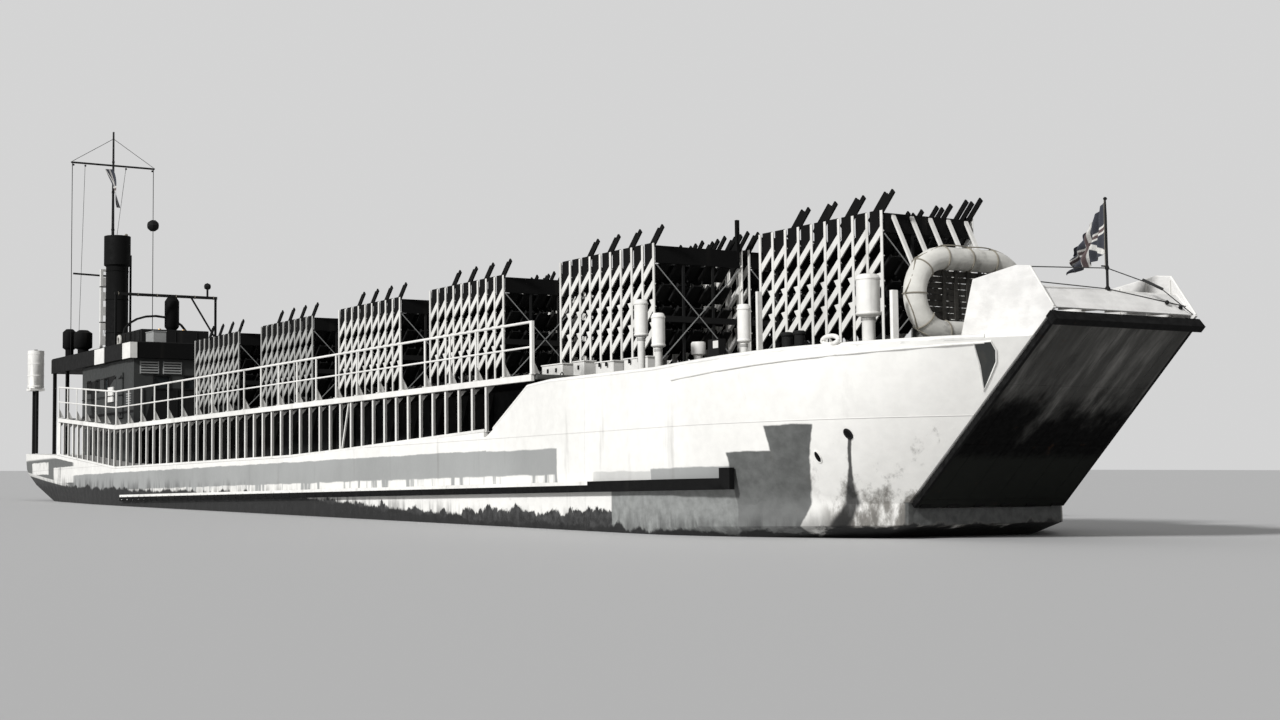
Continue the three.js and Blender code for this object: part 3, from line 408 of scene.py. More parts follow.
def ramp_steel():
    """Outer plate of the ramp: streaked along its slope above, black across the middle, dull at its foot;
    the middle's black is dark paint deepened as painted shade.
    """
    f = Finish("ramp_steel", 0.75, gloss=0.05)
    scrapes = f.noise(1.3, 7, 0.65, stretch=(0.24, 1.5, 0.24), shift=3)
    blotches = f.noise(0.9, 5, 0.6, stretch=(0.6, 1, 0.6), shift=8)
    fine = f.noise(9, 6, shift=2)
    level = f.plus(f.z, f.times(f.minus(blotches, 0.5), 3.2))
    upper = f.fade(level, 2.95, 3.75)
    streaks = f.times(f.fade(scrapes, 0.42, 0.68), f.fade(blotches, 0.38, 0.62, 0.3, 1.0))
    worn = f.mix(streaks, (0.058, 0.057, 0.054), (0.20, 0.195, 0.185))
    # Across the middle: dark paint deepened to near black, painted shade of the ramp facing down away from
    # the light
    colour = f.mix(upper, (0.002, 0.002, 0.002), worn)
    foot = f.fade(f.plus(f.z, f.times(f.minus(fine, 0.5), 0.2)), 2.30, 2.50, 1.0, 0.0)
    colour = f.mix(foot, colour, f.scaled((0.011, 0.012, 0.0105), f.fade(fine, 0.3, 0.7, 0.8, 1.3)))
    # Black end beam and edges
    along_slope = f.plus(f.times(f.minus(f.x, 54.32), math.cos(RAMP_RISE)),
                         f.times(f.minus(f.z, 1.507), math.sin(RAMP_RISE)))
    half = f.minus(1.93, f.times(along_slope, 0.0287))
    edges = f.either(f.fade(along_slope, 4.92, 4.94), f.fade(f.minus(f.size(f.y), half), -0.01, 0.01))
    colour = f.mix(edges, colour, f.scaled(BLACK, f.fade(fine, 0.3, 0.7, 0.8, 2.5)))
    rusty = f.fade(f.noise(2.2, 8, 0.7, shift=17), 0.62, 0.72, 0.0, 0.4)
    colour = f.mix(rusty, colour, f.scaled(RUST, 0.4))
    f.bump(f.plus(f.times(fine, 0.4), scrapes), 0.35, 0.008)
    return f.done(colour, f.fade(fine, 0.3, 0.7, 0.6, 0.8))


def canvas(name, coat, dirt=0.5):
    """Painted canvas: plain weave, soft creases with painted shade in their lows, and grubby stains."""
    f = Finish(name, 0.9)
    threads = [f.math("SINE", f.times(axis, 2 * math.pi / 0.011)) for axis in (f.x, f.y, f.z)]
    cloth = f.plus(f.plus(threads[0], threads[1]), threads[2])
    creases = f.noise(2.0, 5, 0.6, stretch=(1, 1, 1.8), shift=6)
    stains = f.fade(f.noise(1.2, 7, 0.65, shift=11), 0.5, 0.7, 0.0, dirt)
    # The coat is painted darker in the lows of the creases, as shade; the stains are grime
    colour = f.mix(stains, f.scaled(coat, f.fade(creases, 0.3, 0.7, 0.88, 1.05)), GRIME)
    f.bump(f.plus(f.times(cloth, 0.05), f.times(creases, 2.0)), 0.5, 0.01)
    f.shader.inputs["Sheen Weight"].default_value = 0.15
    return f.done(colour)


def bunting():
    """Ensign cloth: dark field with pale bars that follow the cloth."""
    f = Finish("bunting", 0.85)
    uv = f.node("ShaderNodeUVMap", uv_map="cloth")
    split = f.node("ShaderNodeSeparateXYZ")
    f.join(uv.outputs[0], split.inputs[0])
    u, v = split.outputs[0], split.outputs[1]
    upright = f.within(u, 0.44, 0.60, 0.008)
    level = f.within(v, 0.42, 0.58, 0.008)
    diagonal = f.fade(f.size(f.minus(u, v)), 0.05, 0.07, 1.0, 0.0)
    pale = f.either(upright, level, f.both(diagonal, f.fade(u, 0.44, 0.46, 1.0, 0.0)))
    core = f.either(f.within(u, 0.485, 0.555, 0.006), f.within(v, 0.465, 0.535, 0.006))
    fine = f.noise(30, 3)
    colour = f.mix(pale, (0.035, 0.038, 0.05), (0.62, 0.61, 0.58))
    colour = f.mix(core, colour, (0.10, 0.07, 0.07))
    colour = f.scaled(colour, f.fade(fine, 0.3, 0.7, 0.85, 1.05))
    threads = f.plus(f.math("SINE", f.times(u, 900)), f.math("SINE", f.times(v, 600)))
    f.bump(threads, 0.15, 0.002)
    f.shader.inputs["Sheen Weight"].default_value = 0.2
    return f.done(colour)


def metal(name, tint, roughness=0.4, tarnish=0.5):
    """Bare metal, tarnished in places."""
    f = Finish(name, roughness, 0.9)
    fine = f.noise(7, 7, 0.6)
    dull = f.fade(f.noise(1.5, 7, 0.65, shift=5), 0.45, 0.65, 0.0, tarnish)
    colour = f.mix(dull, tint, f.scaled(tint, 0.35))
    f.bump(fine, 0.2, 0.003)
    return f.done(colour, f.fade(fine, 0.3, 0.7, roughness - 0.08, roughness + 0.15))


def timber(name, tint):
    """Weathered planking, grain along the craft."""
    f = Finish(name, 0.8)
    grain = f.noise(6, 8, 0.65, stretch=(0.12, 2.0, 2.0))
    colour = f.mix(f.fade(grain, 0.35, 0.7), tint, f.scaled(tint, 0.5))
    f.bump(grain, 0.35, 0.006)
    return f.done(colour, f.fade(grain, 0.3, 0.7, 0.7, 0.9))


def deck_coating():
    """Worn deck paint: gritty, with pale scuffs."""
    f = Finish("deck_coating", 0.85)
    scuffs = f.fade(f.noise(0.9, 8, 0.68), 0.52, 0.68, 0.0, 0.5)
    grit = f.noise(40, 3)
    colour = f.mix(scuffs, (0.055, 0.056, 0.052), (0.15, 0.145, 0.135))
    f.bump(grit, 0.4, 0.004)
    return f.done(colour, f.fade(grit, 0.3, 0.7, 0.78, 0.95))


def glass():
    """Dark glass of the lights."""
    f = Finish("port_glass", 0.08)
    f.shader.inputs["Specular IOR Level"].default_value = 0.6
    return f.done(f.scaled((0.02, 0.024, 0.026), f.fade(f.noise(3, 3), 0.3, 0.7, 0.8, 1.2)))


HULL = hull_paint()
RAMP = ramp_steel()
WHITE_PAINT = weathered("white_paint", WHITE, rust=0.35, streaks=0.35, chips=0.45)
RACK_WHITE = weathered("rack_white", (0.70, 0.69, 0.66), rust=0.5, streaks=0.45, chips=0.6)
# Rack white darkened to grey, painted shade for the aft racks
RACK_PAINTED_SHADE = weathered("rack_white_painted_shade", (0.36, 0.36, 0.345), rust=0.5, streaks=0.5, chips=0.6)
GREY_PAINT = weathered("grey_paint", HOUSE_GREY, rust=0.35, streaks=0.25, chips=0.35, gloss=0.2)
PALE_GREY_PAINT = weathered("pale_grey_paint", LIGHT_GREY, rust=0.4, streaks=0.4, chips=0.5)
DARK_PAINT = weathered("dark_paint", DARK, rust=0.3, streaks=0.1, chips=0.25, roughness=0.75, gloss=0.12)
BLACK_PAINT = weathered("black_paint", BLACK, rust=0.2, streaks=0.06, chips=0.2, roughness=0.7, gloss=0.1)
SCREEN_WHITE = canvas("screen_canvas", (0.72, 0.71, 0.69), dirt=0.12)
FLOAT_CANVAS = canvas("float_canvas", (0.60, 0.59, 0.55), dirt=0.8)
BUNTING = bunting()
BRONZE = metal("bronze", (0.42, 0.27, 0.12), 0.35)
STEEL = metal("worn_steel", (0.30, 0.29, 0.28), 0.5)
WIRE = metal("wire", (0.10, 0.10, 0.10), 0.55)
SLATS = timber("float_slats", (0.035, 0.032, 0.027))
ROPE = canvas("rope", (0.22, 0.20, 0.16), dirt=0.4)
DECK = deck_coating()
GLASS = glass()


# Making meshes


class Sketch:
    """Mesh of one piece, drawn in the full-size craft's metres."""

    def __init__(self, finish):
        self.mesh = bmesh.new()
        self.finishes = [finish]
        self.paint = 0

    def use(self, finish):
        """Paints what is drawn from here on with this finish."""
        if finish not in self.finishes:
            self.finishes.append(finish)
        self.paint = self.finishes.index(finish)
        return self

    def add(self, points, faces):
        made = [self.mesh.verts.new(p) for p in points]
        for corners in faces:
            self.mesh.faces.new([made[i] for i in corners]).material_index = self.paint
        return self

    def block(self, xs, ys, zs):
        points = [(x, y, z) for x in xs for y in ys for z in zs]
        return self.add(points, [(0, 1, 3, 2), (4, 6, 7, 5), (0, 4, 5, 1), (2, 3, 7, 6), (0, 2, 6, 4),
                                 (1, 5, 7, 3)])

    def rings(self, rings, closed=False):
        """Skin through rings of points, capped unless it closes on itself."""
        count = len(rings[0])
        faces = []
        for r in range(len(rings) if closed else len(rings) - 1):
            base, after = r * count, (r + 1) % len(rings) * count
            faces += [(base + i, base + (i + 1) % count, after + (i + 1) % count, after + i)
                      for i in range(count)]
        if not closed:
            faces.append(tuple(range(count)))
            faces.append(tuple(range(len(rings) * count - count, len(rings) * count)))
        return self.add([p for ring in rings for p in ring], faces)

    def prism(self, outline, start, end, up=UP):
        """Bar from start to end whose section is an outline of (across, up) points."""
        start, end = Vector(start), Vector(end)
        heading = (end - start).normalized()
        across = heading.cross(up)
        if across.length < 1e-6:
            across = heading.cross(FORWARD)
        across.normalize()
        rise = across.cross(heading)
        return self.rings([[foot + across * u + rise * v for u, v in outline] for foot in (start, end)])

    def bar(self, start, end, width, depth=None, up=UP):
        w, d = width / 2, (depth or width) / 2
        return self.prism([(-w, -d), (w, -d), (w, d), (-w, d)], start, end, up)

    def rod(self, start, end, radius, sides=10, end_radius=None):
        start, end = Vector(start), Vector(end)
        heading = (end - start).normalized()
        across = heading.cross(UP if abs(heading.z) < 0.9 else FORWARD).normalized()
        rise = across.cross(heading)
        end_radius = radius if end_radius is None else end_radius
        return self.rings([circle(start, radius, sides, across, rise),
                           circle(end, end_radius, sides, across, rise)])

    def turned(self, profile, origin, sides=20, axis=UP):
        """Solid of revolution: profile of (radius, height) from axis to axis."""
        origin, axis = Vector(origin), Vector(axis).normalized()
        across = axis.cross(FORWARD if abs(axis.x) < 0.9 else TO_PORT).normalized()
        rise = across.cross(axis)
        start = len(self.mesh.verts)
        self.rings([circle(origin + axis * h, max(r, 1e-5), sides, across, rise) for r, h in profile])
        self.mesh.verts.ensure_lookup_table()
        bmesh.ops.remove_doubles(self.mesh, verts=self.mesh.verts[start:], dist=1e-4)
        return self

    def ball(self, centre, radius, sides=16, squash=1.0):
        half = sides // 2
        profile = [(math.sin(math.pi * i / half) * radius, -math.cos(math.pi * i / half) * radius * squash)
                   for i in range(half + 1)]
        return self.turned(profile, centre, sides)

    def tube(self, path, radius, sides=8, closed=False):
        """Round tube along a path of points."""
        path = [Vector(p) for p in path]
        count = len(path)
        rings = []
        across = None
        for i, p in enumerate(path):
            before = path[i - 1] if i or closed else p
            after = path[(i + 1) % count] if i + 1 < count or closed else p
            heading = (after - before).normalized()
            if across is None:
                across = heading.cross(UP if abs(heading.z) < 0.9 else FORWARD)
            across = (across - heading * across.dot(heading)).normalized()
            rise = heading.cross(across)
            rings.append(circle(p, radius, sides, across, rise))
        return self.rings(rings, closed)

    def plate(self, outline, thickness):
        """Flat plate of any outline of 3-D points, thickened along its own normal."""
        points = [Vector(p) for p in outline]
        normal = (points[1] - points[0]).cross(points[2] - points[1]).normalized()
        return self.rings([[p + normal * side * thickness / 2 for p in points] for side in (-1, 1)])

    def take(self, mesh):
        """Adds a finished mesh, in full-size metres."""
        before = len(self.mesh.faces)
        self.mesh.from_mesh(mesh)
        self.mesh.faces.ensure_lookup_table()
        for face in self.mesh.faces[before:]:
            face.material_index = self.paint
        bpy.data.meshes.remove(mesh)
        return self

    def drawn(self):
        return self.mesh.verts[:] + self.mesh.edges[:] + self.mesh.faces[:]

    def cut(self, place, normal):
        """Splits what is drawn along a plane, and leaves both halves."""
        bmesh.ops.bisect_plane(self.mesh, geom=self.drawn(), plane_co=place, plane_no=normal, dist=1e-4)

    def mirrored(self):
        """Adds the mirror image across the craft of all that is drawn."""
        for made in bmesh.ops.duplicate(self.mesh, geom=self.drawn())["geom"]:
            if isinstance(made, bmesh.types.BMVert):
                made.co.y = -made.co.y
        return self


def turn_angles(sides):
    return [2 * math.pi * i / sides for i in range(sides)]


def circle(centre, radius, sides, across=FORWARD, rise=TO_PORT):
    """Points of a circle round a centre, in the plane of two directions."""
    centre = Vector(centre)
    return [centre + (across * math.cos(a) + rise * math.sin(a)) * radius for a in turn_angles(sides)]


def link(name, mesh):
    """Puts new data in the scene as an object."""
    made = bpy.data.objects.new(name, mesh)
    bpy.context.scene.collection.objects.link(made)
    return made


def finished(sketch, name, body="hull", replaces=(), bevel=0.0, smooth=38):
    """Makes the piece of a sketch: normals outwards, brought to the model, on its body."""
    bmesh.ops.recalc_face_normals(sketch.mesh, faces=sketch.mesh.faces)
    mesh = bpy.data.meshes.new(name)
    sketch.mesh.to_mesh(mesh)
    sketch.mesh.free()
    mesh.transform(TO_MODEL)
    for finish in sketch.finishes:
        mesh.materials.append(finish)
    mesh.polygons.foreach_set("use_smooth", [True] * len(mesh.polygons))
    mesh.set_sharp_from_angle(angle=math.radians(smooth))
    piece = link(name, mesh)
    if bevel:
        ease_edges(piece, bevel)
    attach(piece, body)
    if replaces:
        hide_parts(*replaces)
    return piece


def ease_edges(piece, width):
    """Gives a piece a small bevel on its sharp edges."""
    eased = piece.modifiers.new("eased_edges", "BEVEL")
    eased.width = width * SCALE
    eased.segments = 1
    eased.limit_method = "ANGLE"
    eased.angle_limit = math.radians(35)
    eased.harden_normals = True


def dressed(node, finish, body="hull", bevel=0.012, smooth=35, extra=None):
    """A merged copy of a CAD node with eased edges, which stands for it. extra draws more on it."""
    sketch = Sketch(finish)
    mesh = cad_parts[node].data.copy()
    mesh.transform(TO_FULL)
    sketch.take(mesh)
    bmesh.ops.remove_doubles(sketch.mesh, verts=sketch.mesh.verts, dist=2e-4)
    bmesh.ops.dissolve_limit(sketch.mesh, angle_limit=math.radians(0.6), verts=sketch.mesh.verts,
                             edges=sketch.mesh.edges)
    if extra:
        extra(sketch)
    return finished(sketch, "dressed_" + node, body, (node,), bevel, smooth)


# Node trees for what repeats


class Growth:
    """A geometry node tree with named inputs."""

    def __init__(self, name, **inputs):
        self.tree = bpy.data.node_groups.new(name, "GeometryNodeTree")
        self.tree.interface.new_socket("Geometry", in_out="INPUT", socket_type="NodeSocketGeometry")
        for label, kind in inputs.items():
            self.tree.interface.new_socket(label, in_out="INPUT", socket_type="NodeSocket" + kind)
        self.tree.interface.new_socket("Geometry", in_out="OUTPUT", socket_type="NodeSocketGeometry")
        self.inlet = self.node("NodeGroupInput")
        self.outlet = self.node("NodeGroupOutput")

    def node(self, kind, **values):
        made = self.tree.nodes.new(kind)
        for label, value in values.items():
            if hasattr(made, label):
                setattr(made, label, value)
            else:
                socket = made.inputs[label.replace("_", " ")]
                if isinstance(value, bpy.types.NodeSocket):
                    self.tree.links.new(value, socket)
                else:
                    socket.default_value = value
        return made

    def close(self, geometry):
        realized = self.node("GeometryNodeRealizeInstances", Geometry=geometry).outputs[0]
        painted = self.node("GeometryNodeSetMaterial", Geometry=realized,
                            Material=self.inlet.outputs["Finish"]).outputs[0]
        self.tree.links.new(painted, self.outlet.inputs[0])
        return self.tree


def row_tree():
    """Copies of the piece at even steps along a row, and rows at even steps beside it."""
    g = Growth("rows_of_copies", Count="Int", Step="Vector", Rows="Int", RowStep="Vector", Finish="Material")
    inlet = g.inlet.outputs
    row = g.node("GeometryNodeMeshLine", mode="OFFSET", Count=inlet["Count"], Offset=inlet["Step"])
    first = g.node("GeometryNodeInstanceOnPoints", Points=row.outputs[0], Instance=inlet["Geometry"])
    rows = g.node("GeometryNodeMeshLine", mode="OFFSET", Count=inlet["Rows"], Offset=inlet["RowStep"])
    every = g.node("GeometryNodeInstanceOnPoints", Points=rows.outputs[0], Instance=first.outputs[0])
    return g.close(every.outputs[0])


def stud_tree():
    """Six-sided studs at a pitch along the edges of a line drawing, standing along the Facing vector."""
    g = Growth("studs_along_lines", Pitch="Float", Radius="Float", Height="Float", Facing="Vector",
               Finish="Material")
    inlet = g.inlet.outputs
    curve = g.node("GeometryNodeMeshToCurve", Mesh=inlet["Geometry"]).outputs[0]
    points = g.node("GeometryNodeCurveToPoints", mode="LENGTH", Curve=curve, Length=inlet["Pitch"])
    head = g.node("GeometryNodeMeshCone", Vertices=6, fill_type="NGON")
    g.tree.links.new(inlet["Radius"], head.inputs["Radius Bottom"])
    top = g.node("ShaderNodeMath", operation="MULTIPLY")
    g.tree.links.new(inlet["Radius"], top.inputs[0])
    top.inputs[1].default_value = 0.6
    g.tree.links.new(top.outputs[0], head.inputs["Radius Top"])
    g.tree.links.new(inlet["Height"], head.inputs["Depth"])
    turn = g.node("FunctionNodeAlignRotationToVector", axis="Z", Vector=inlet["Facing"]).outputs[0]
    studs = g.node("GeometryNodeInstanceOnPoints", Points=points.outputs[0], Instance=head.outputs[0],
                   Rotation=turn)
    return g.close(studs.outputs[0])


def pipe_tree():
    """Round pipe along the edges of a line drawing."""
    g = Growth("pipe_along_lines", Radius="Float", Sides="Int", Finish="Material")
    inlet = g.inlet.outputs
    curve = g.node("GeometryNodeMeshToCurve", Mesh=inlet["Geometry"]).outputs[0]
    ring = g.node("GeometryNodeCurvePrimitiveCircle", Resolution=inlet["Sides"], Radius=inlet["Radius"])
    pipe = g.node("GeometryNodeCurveToMesh", Curve=curve)
    g.tree.links.new(ring.outputs[0], pipe.inputs["Profile Curve"])
    pipe.inputs["Fill Caps"].default_value = True
    return g.close(pipe.outputs[0])


ROWS = row_tree()
STUDS = stud_tree()
PIPES = pipe_tree()


def grown(source, tree, **values):
    """The plain mesh that a node tree makes of a mesh, with its named inputs set."""
    holder = link("grown", source)
    growth = holder.modifiers.new("growth", "NODES")
    growth.node_group = tree
    for item in tree.interface.items_tree:
        if item.in_out == "INPUT" and item.name in values:
            growth[item.identifier] = values[item.name]
    bpy.context.view_layer.update()
    graph = bpy.context.evaluated_depsgraph_get()
    made = bpy.data.meshes.new_from_object(holder.evaluated_get(graph), depsgraph=graph)
    bpy.data.objects.remove(holder)
    bpy.data.meshes.remove(source)
    return made


def mesh_of(sketch):
    """Turns a sketch into a plain mesh, normals outwards, still in full-size metres."""
    mesh = bpy.data.meshes.new("unit")
    bmesh.ops.recalc_face_normals(sketch.mesh, faces=sketch.mesh.faces)
    sketch.mesh.to_mesh(mesh)
    sketch.mesh.free()
    return mesh


def repeat(sketch, unit, count, step, rows=1, row_step=(0, 0, 0)):
    """Draws a unit sketch in the sketch, repeated in rows."""
    finish = unit.finishes[0]
    sketch.use(finish)
    return sketch.take(grown(mesh_of(unit), ROWS, Count=count, Step=step, Rows=rows, RowStep=row_step,
                             Finish=finish))


def line_drawing(*paths):
    """Mesh of bare edges along paths of points."""
    mesh = bpy.data.meshes.new("lines")
    points, edges = [], []
    for path in paths:
        first = len(points)
        points += [tuple(p) for p in path]
        edges += [(i, i + 1) for i in range(first, len(points) - 1)]
    mesh.from_pydata(points, edges, [])
    return mesh


def studs(sketch, finish, facing, *paths, pitch=0.3, radius=0.02, height=0.02):
    """Draws studs in the sketch, at a pitch along paths."""
    sketch.use(finish)
    return sketch.take(grown(line_drawing(*paths), STUDS, Pitch=pitch, Radius=radius, Height=height,
                             Facing=facing, Finish=finish))


def pipes(sketch, finish, radius, *paths, sides=8):
    """Draws round pipes in the sketch, along paths."""
    sketch.use(finish)
    return sketch.take(grown(line_drawing(*paths), PIPES, Radius=radius, Sides=sides, Finish=finish))


def channel_section(width, depth, thickness=0.012):
    """Section of a rolled channel, as an outline of (across, up) points."""
    w = width / 2
    return [(-w, 0), (w, 0), (w, depth), (w - thickness, depth), (w - thickness, thickness),
            (-w + thickness, thickness), (-w + thickness, depth), (-w, depth)]


# Hull and its side


HULL_TREE = BVHTree.FromObject(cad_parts["hull"], bpy.context.evaluated_depsgraph_get())


def side_at(x, z):
    """Half-breadth of the hull's outside at a place along it and a height."""
    start = TO_MODEL @ Vector((x, -8, z))
    hit = HULL_TREE.ray_cast(start, TO_PORT)[0]
    return -(TO_FULL @ hit).y


def shoulder_at(x, z):
    """Half-breadth of the bow's rounded shoulder, which narrows from the side to the ramp's corner."""
    rise = (z - RAMP_FOOT.z) / (BOW_TOP - RAMP_FOOT.z)
    front = RAMP_FOOT.x + (z - RAMP_FOOT.z) / math.tan(RAMP_RISE)
    length = 5.2 + 1.8 * rise
    corner = 2.04 - 0.145 * rise
    return WIDEST - (WIDEST - corner) * along(SHOULDER_DROP, (x - front + length) / length)


def hull_shell():
    """The hull's own form, its shoulders cut finer and laid on their true curve."""
    def refine(sketch):
        for z in stations(RAMP_FOOT.z, 4.5, 0.2):
            sketch.cut((0, 0, z), UP)
        for x in stations(49.2, 57.2, 0.3):
            sketch.cut((x, 0, 0), FORWARD)
        for vertex in sketch.mesh.verts:
            x, y, z = vertex.co
            if x > 48.5 and z > RAMP_FOOT.z - 0.01:
                skin = shoulder_at(x, z)
                if abs(abs(y) - skin) < 0.04:
                    vertex.co.y = math.copysign(skin, y)

    return dressed("hull", HULL, bevel=0.015, smooth=32, extra=refine)


def hold_coaming():
    """Coaming with the brackets that stay it to the side deck."""
    def brackets(sketch):
        bracket = Sketch(DARK_PAINT)
        for _, side in SIDES:
            bracket.plate([(15.6, side * y, z) for y, z in ((3.06, 4.42), (3.06, 3.1), (3.4, 3.1))], 0.012)
        repeat(sketch, bracket, 19, (1.4, 0, 0))

    # The coaming's dark paint stands partly for the shade under the raised deck
    dressed("hold_coaming", DARK_PAINT, bevel=0.01, extra=brackets)


def sheer_rail():
    """Half-round rail along the top of the bow's side plating, and the plate edge above it."""
    aft = (42.35, 43.2, 44.0, 44.5, 45, 46.5, 48, 49.3)
    fore = (50, 50.8, 51.6, 52.4, 53.2, 54, 54.8, 55.6, 56.3, 56.85)
    sketch = Sketch(WHITE_PAINT)
    for _, side in SIDES:
        path = []
        for x in fore:
            z = along(SHEER, x) - along(((50, 0.27), (56.85, 0.09)), x)
            path.append((x, side * (side_at(x, z) + 0.008), z))
        sketch.tube(path, 0.022, 8)
        top = [(x, side * (side_at(x, along(SHEER, x) - 0.03) - 0.05), along(SHEER, x) + 0.012)
               for x in (*aft, *fore)]
        sketch.tube(top, 0.06, 8)
    return finished(sketch, "sheer_rail")


def hull_fittings():
    """Hawse hole and mooring eye low on each shoulder, and the teardrop port behind the ramp's corner:
    rimmed dark plates on the skin, painted shade for the depth of each opening.
    """
    sketch = Sketch(BLACK_PAINT)
    teardrop = ((56.70, 4.44), (56.95, 4.46), (56.94, 4.30), (56.84, 4.10), (56.62, 3.84), (56.40, 3.60),
                (56.58, 4.04))
    hawse = [(54.05 + math.cos(a) * 0.055, 2.86 + math.sin(a) * 0.085) for a in turn_angles(16)]
    eye = [(53.36 + math.cos(a) * 0.05, 2.44 + math.sin(a) * 0.11) for a in turn_angles(12)]

    def on_skin(outline, side, out):
        return [(x, side * (shoulder_at(x, z) + out), z) for x, z in outline]

    for _, side in SIDES:
        # Dark plates stand as painted shade inside the openings
        for outline, hole_shade in ((hawse, BLACK_PAINT), (eye, BLACK_PAINT), (teardrop, GREY_PAINT)):
            sketch.use(hole_shade).plate(on_skin(outline, side, 0.005), 0.02)
        for outline, rim, radius in ((hawse, DARK_PAINT, 0.022), (eye, WHITE_PAINT, 0.014),
                                     (teardrop, WHITE_PAINT, 0.02)):
            sketch.use(rim).tube(on_skin(outline, side, 0.008), radius, 6, closed=True)
    return finished(sketch, "hull_fittings")


def strakes():
    """Timber-faced rubbing strakes with their bolts, black, their upper half painted white: white paint, and
    painted light on their sunlit top.
    """
    for name, side in SIDES:
        def bolts(sketch, side=side):
            paths = [[(x, side * (WIDEST + 0.135), z) for x in (15.3, 30, 45.5)] for z in (1.89, 2.01)]
            studs(sketch, BLACK_PAINT, TO_PORT * side, *paths, pitch=0.6, radius=0.028, height=0.03)
            # The upper half is painted white, partly as painted light on the top face
            sketch.cut((0, 0, STRAKE_WHITE_FOOT), UP)
            sketch.cut((STRAKE_WHITE_END, 0, 0), FORWARD)
            sketch.use(WHITE_PAINT)
            for face in sketch.mesh.faces:
                middle = face.calc_center_median()
                if middle.z > STRAKE_WHITE_FOOT and middle.x < STRAKE_WHITE_END:
                    face.material_index = sketch.paint

        dressed("rubbing_strake_" + name, BLACK_PAINT, bevel=0.03, extra=bolts)


def bow_ramp():
    """Ramp with its hinge knuckles, the seams of its outer face and the lifting eyes of its end beam."""
    up_slope = Vector((math.cos(RAMP_RISE), 0, math.sin(RAMP_RISE)))
    outward = Vector((math.sin(RAMP_RISE), 0, -math.cos(RAMP_RISE)))
    face = 0.055
    lug = ((-0.22, 0.02), (0.02, 0.02), (0.02, 0.14), (-0.04, 0.19), (-0.16, 0.19))

    def at(length, y, out=0.0):
        """Place on the ramp: up its slope from the hinge, across it, and out from its middle."""
        return RAMP_HINGE + up_slope * length + TO_PORT * y + outward * out

    def details(sketch):
        sketch.use(RAMP)
        for y in (-1.52, -0.76, 0, 0.76, 1.52):
            sketch.bar(at(0.25, y, face), at(4.8, y, face), 0.03, 0.008, up=outward)
        for length in (0.16, 1.7, 3.3):
            half = 1.96 - 0.03 * length
            sketch.bar(at(length, -half, face), at(length, half, face), 0.04, 0.008, up=outward)
        sketch.use(BLACK_PAINT)
        for y in (-1.75, -1.05, -0.35, 0.35, 1.05, 1.75):
            sketch.rod(at(0, y - 0.13), at(0, y + 0.13), 0.075, 14)
        for y in (-1.72, 1.72):
            sketch.plate([at(5.0 + u, y, -v) for u, v in lug], 0.04)

    dressed("bow_ramp", RAMP, "ramp", bevel=0.014, extra=details)


def bow_screen():
    """Bow cheeks and the low screen between them, framed, with the wires drawn from cheek to cheek."""
    cheek_top = ((55.62, 4.60), (55.99, 5.70), (57.13, 5.84), (57.48, 5.80), (58.05, 5.02))

    def frames(sketch):
        sketch.use(WHITE_PAINT)
        for _, side in SIDES:
            y = side * 1.855
            sketch.tube([(x, y, z) for x, z in cheek_top], 0.03, 8)
            for x, foot, head in ((56.2, 4.55, 5.70), (56.9, 4.55, 5.78), (57.5, 4.56, 5.74)):
                sketch.bar((x, side * 1.80, foot), (x, side * 1.80, head), 0.03, 0.05, up=TO_PORT)
        sketch.tube([(57.60, y, 5.425) for y in (-1.82, -0.6, 0.6, 1.82)], 0.028, 8)
        for y in (-1.2, -0.6, 0, 0.6, 1.2):
            sketch.plate([(57.93, y, 5.01), (57.60, y, 5.40), (57.50, y, 5.03)], 0.016)
        upper = [(57.25, -1.82, 5.83), (57.60, 0, 5.86), (57.95, 1.0, 5.52), (58.02, 1.82, 5.03)]
        lower = [(57.70, -1.82, 5.50), (57.60, 0, 5.47), (57.85, 1.82, 5.20)]
        pipes(sketch, WIRE, 0.012, upper, lower, sides=6)
        pipes(sketch, WIRE, 0.03, [(57.80, 0.72, 5.66), (57.95, 1.10, 5.48)], sides=6)
        for point in ((57.60, 0, 5.86), (57.60, 0, 5.47), (57.86, 1.30, 5.25), (57.90, 1.62, 5.16)):
            sketch.use(DARK_PAINT).ball(point, 0.045, 10)

    dressed("bow_screen", SCREEN_WHITE, bevel=0.008, extra=frames)


def flag_staff():
    """Staff with its truck, its cleat and the halyard."""
    x, foot, top = 57.6, 5.434, 7.14
    sketch = Sketch(DARK_PAINT)
    height = top - foot
    pole = [(0, 0), (0.05, 0), (0.05, 0.05), (0.026, 0.09), (0.024, height - 0.3), (0.016, height)]
    truck = [(0.03, height + 0.005), (0.04, height + 0.03), (0.02, height + 0.055), (0, height + 0.06)]
    sketch.turned(pole + truck, (x, 0, foot), 14)
    sketch.bar((x - 0.05, -0.09, 5.9), (x - 0.05, 0.09, 5.9), 0.025)
    for y in (-0.012, 0.012):
        sketch.use(ROPE).rod((x - 0.035, y, 5.9), (x - 0.02, y, top), 0.006, 6)
    return finished(sketch, "jack_staff", replaces=("flag_staff",))


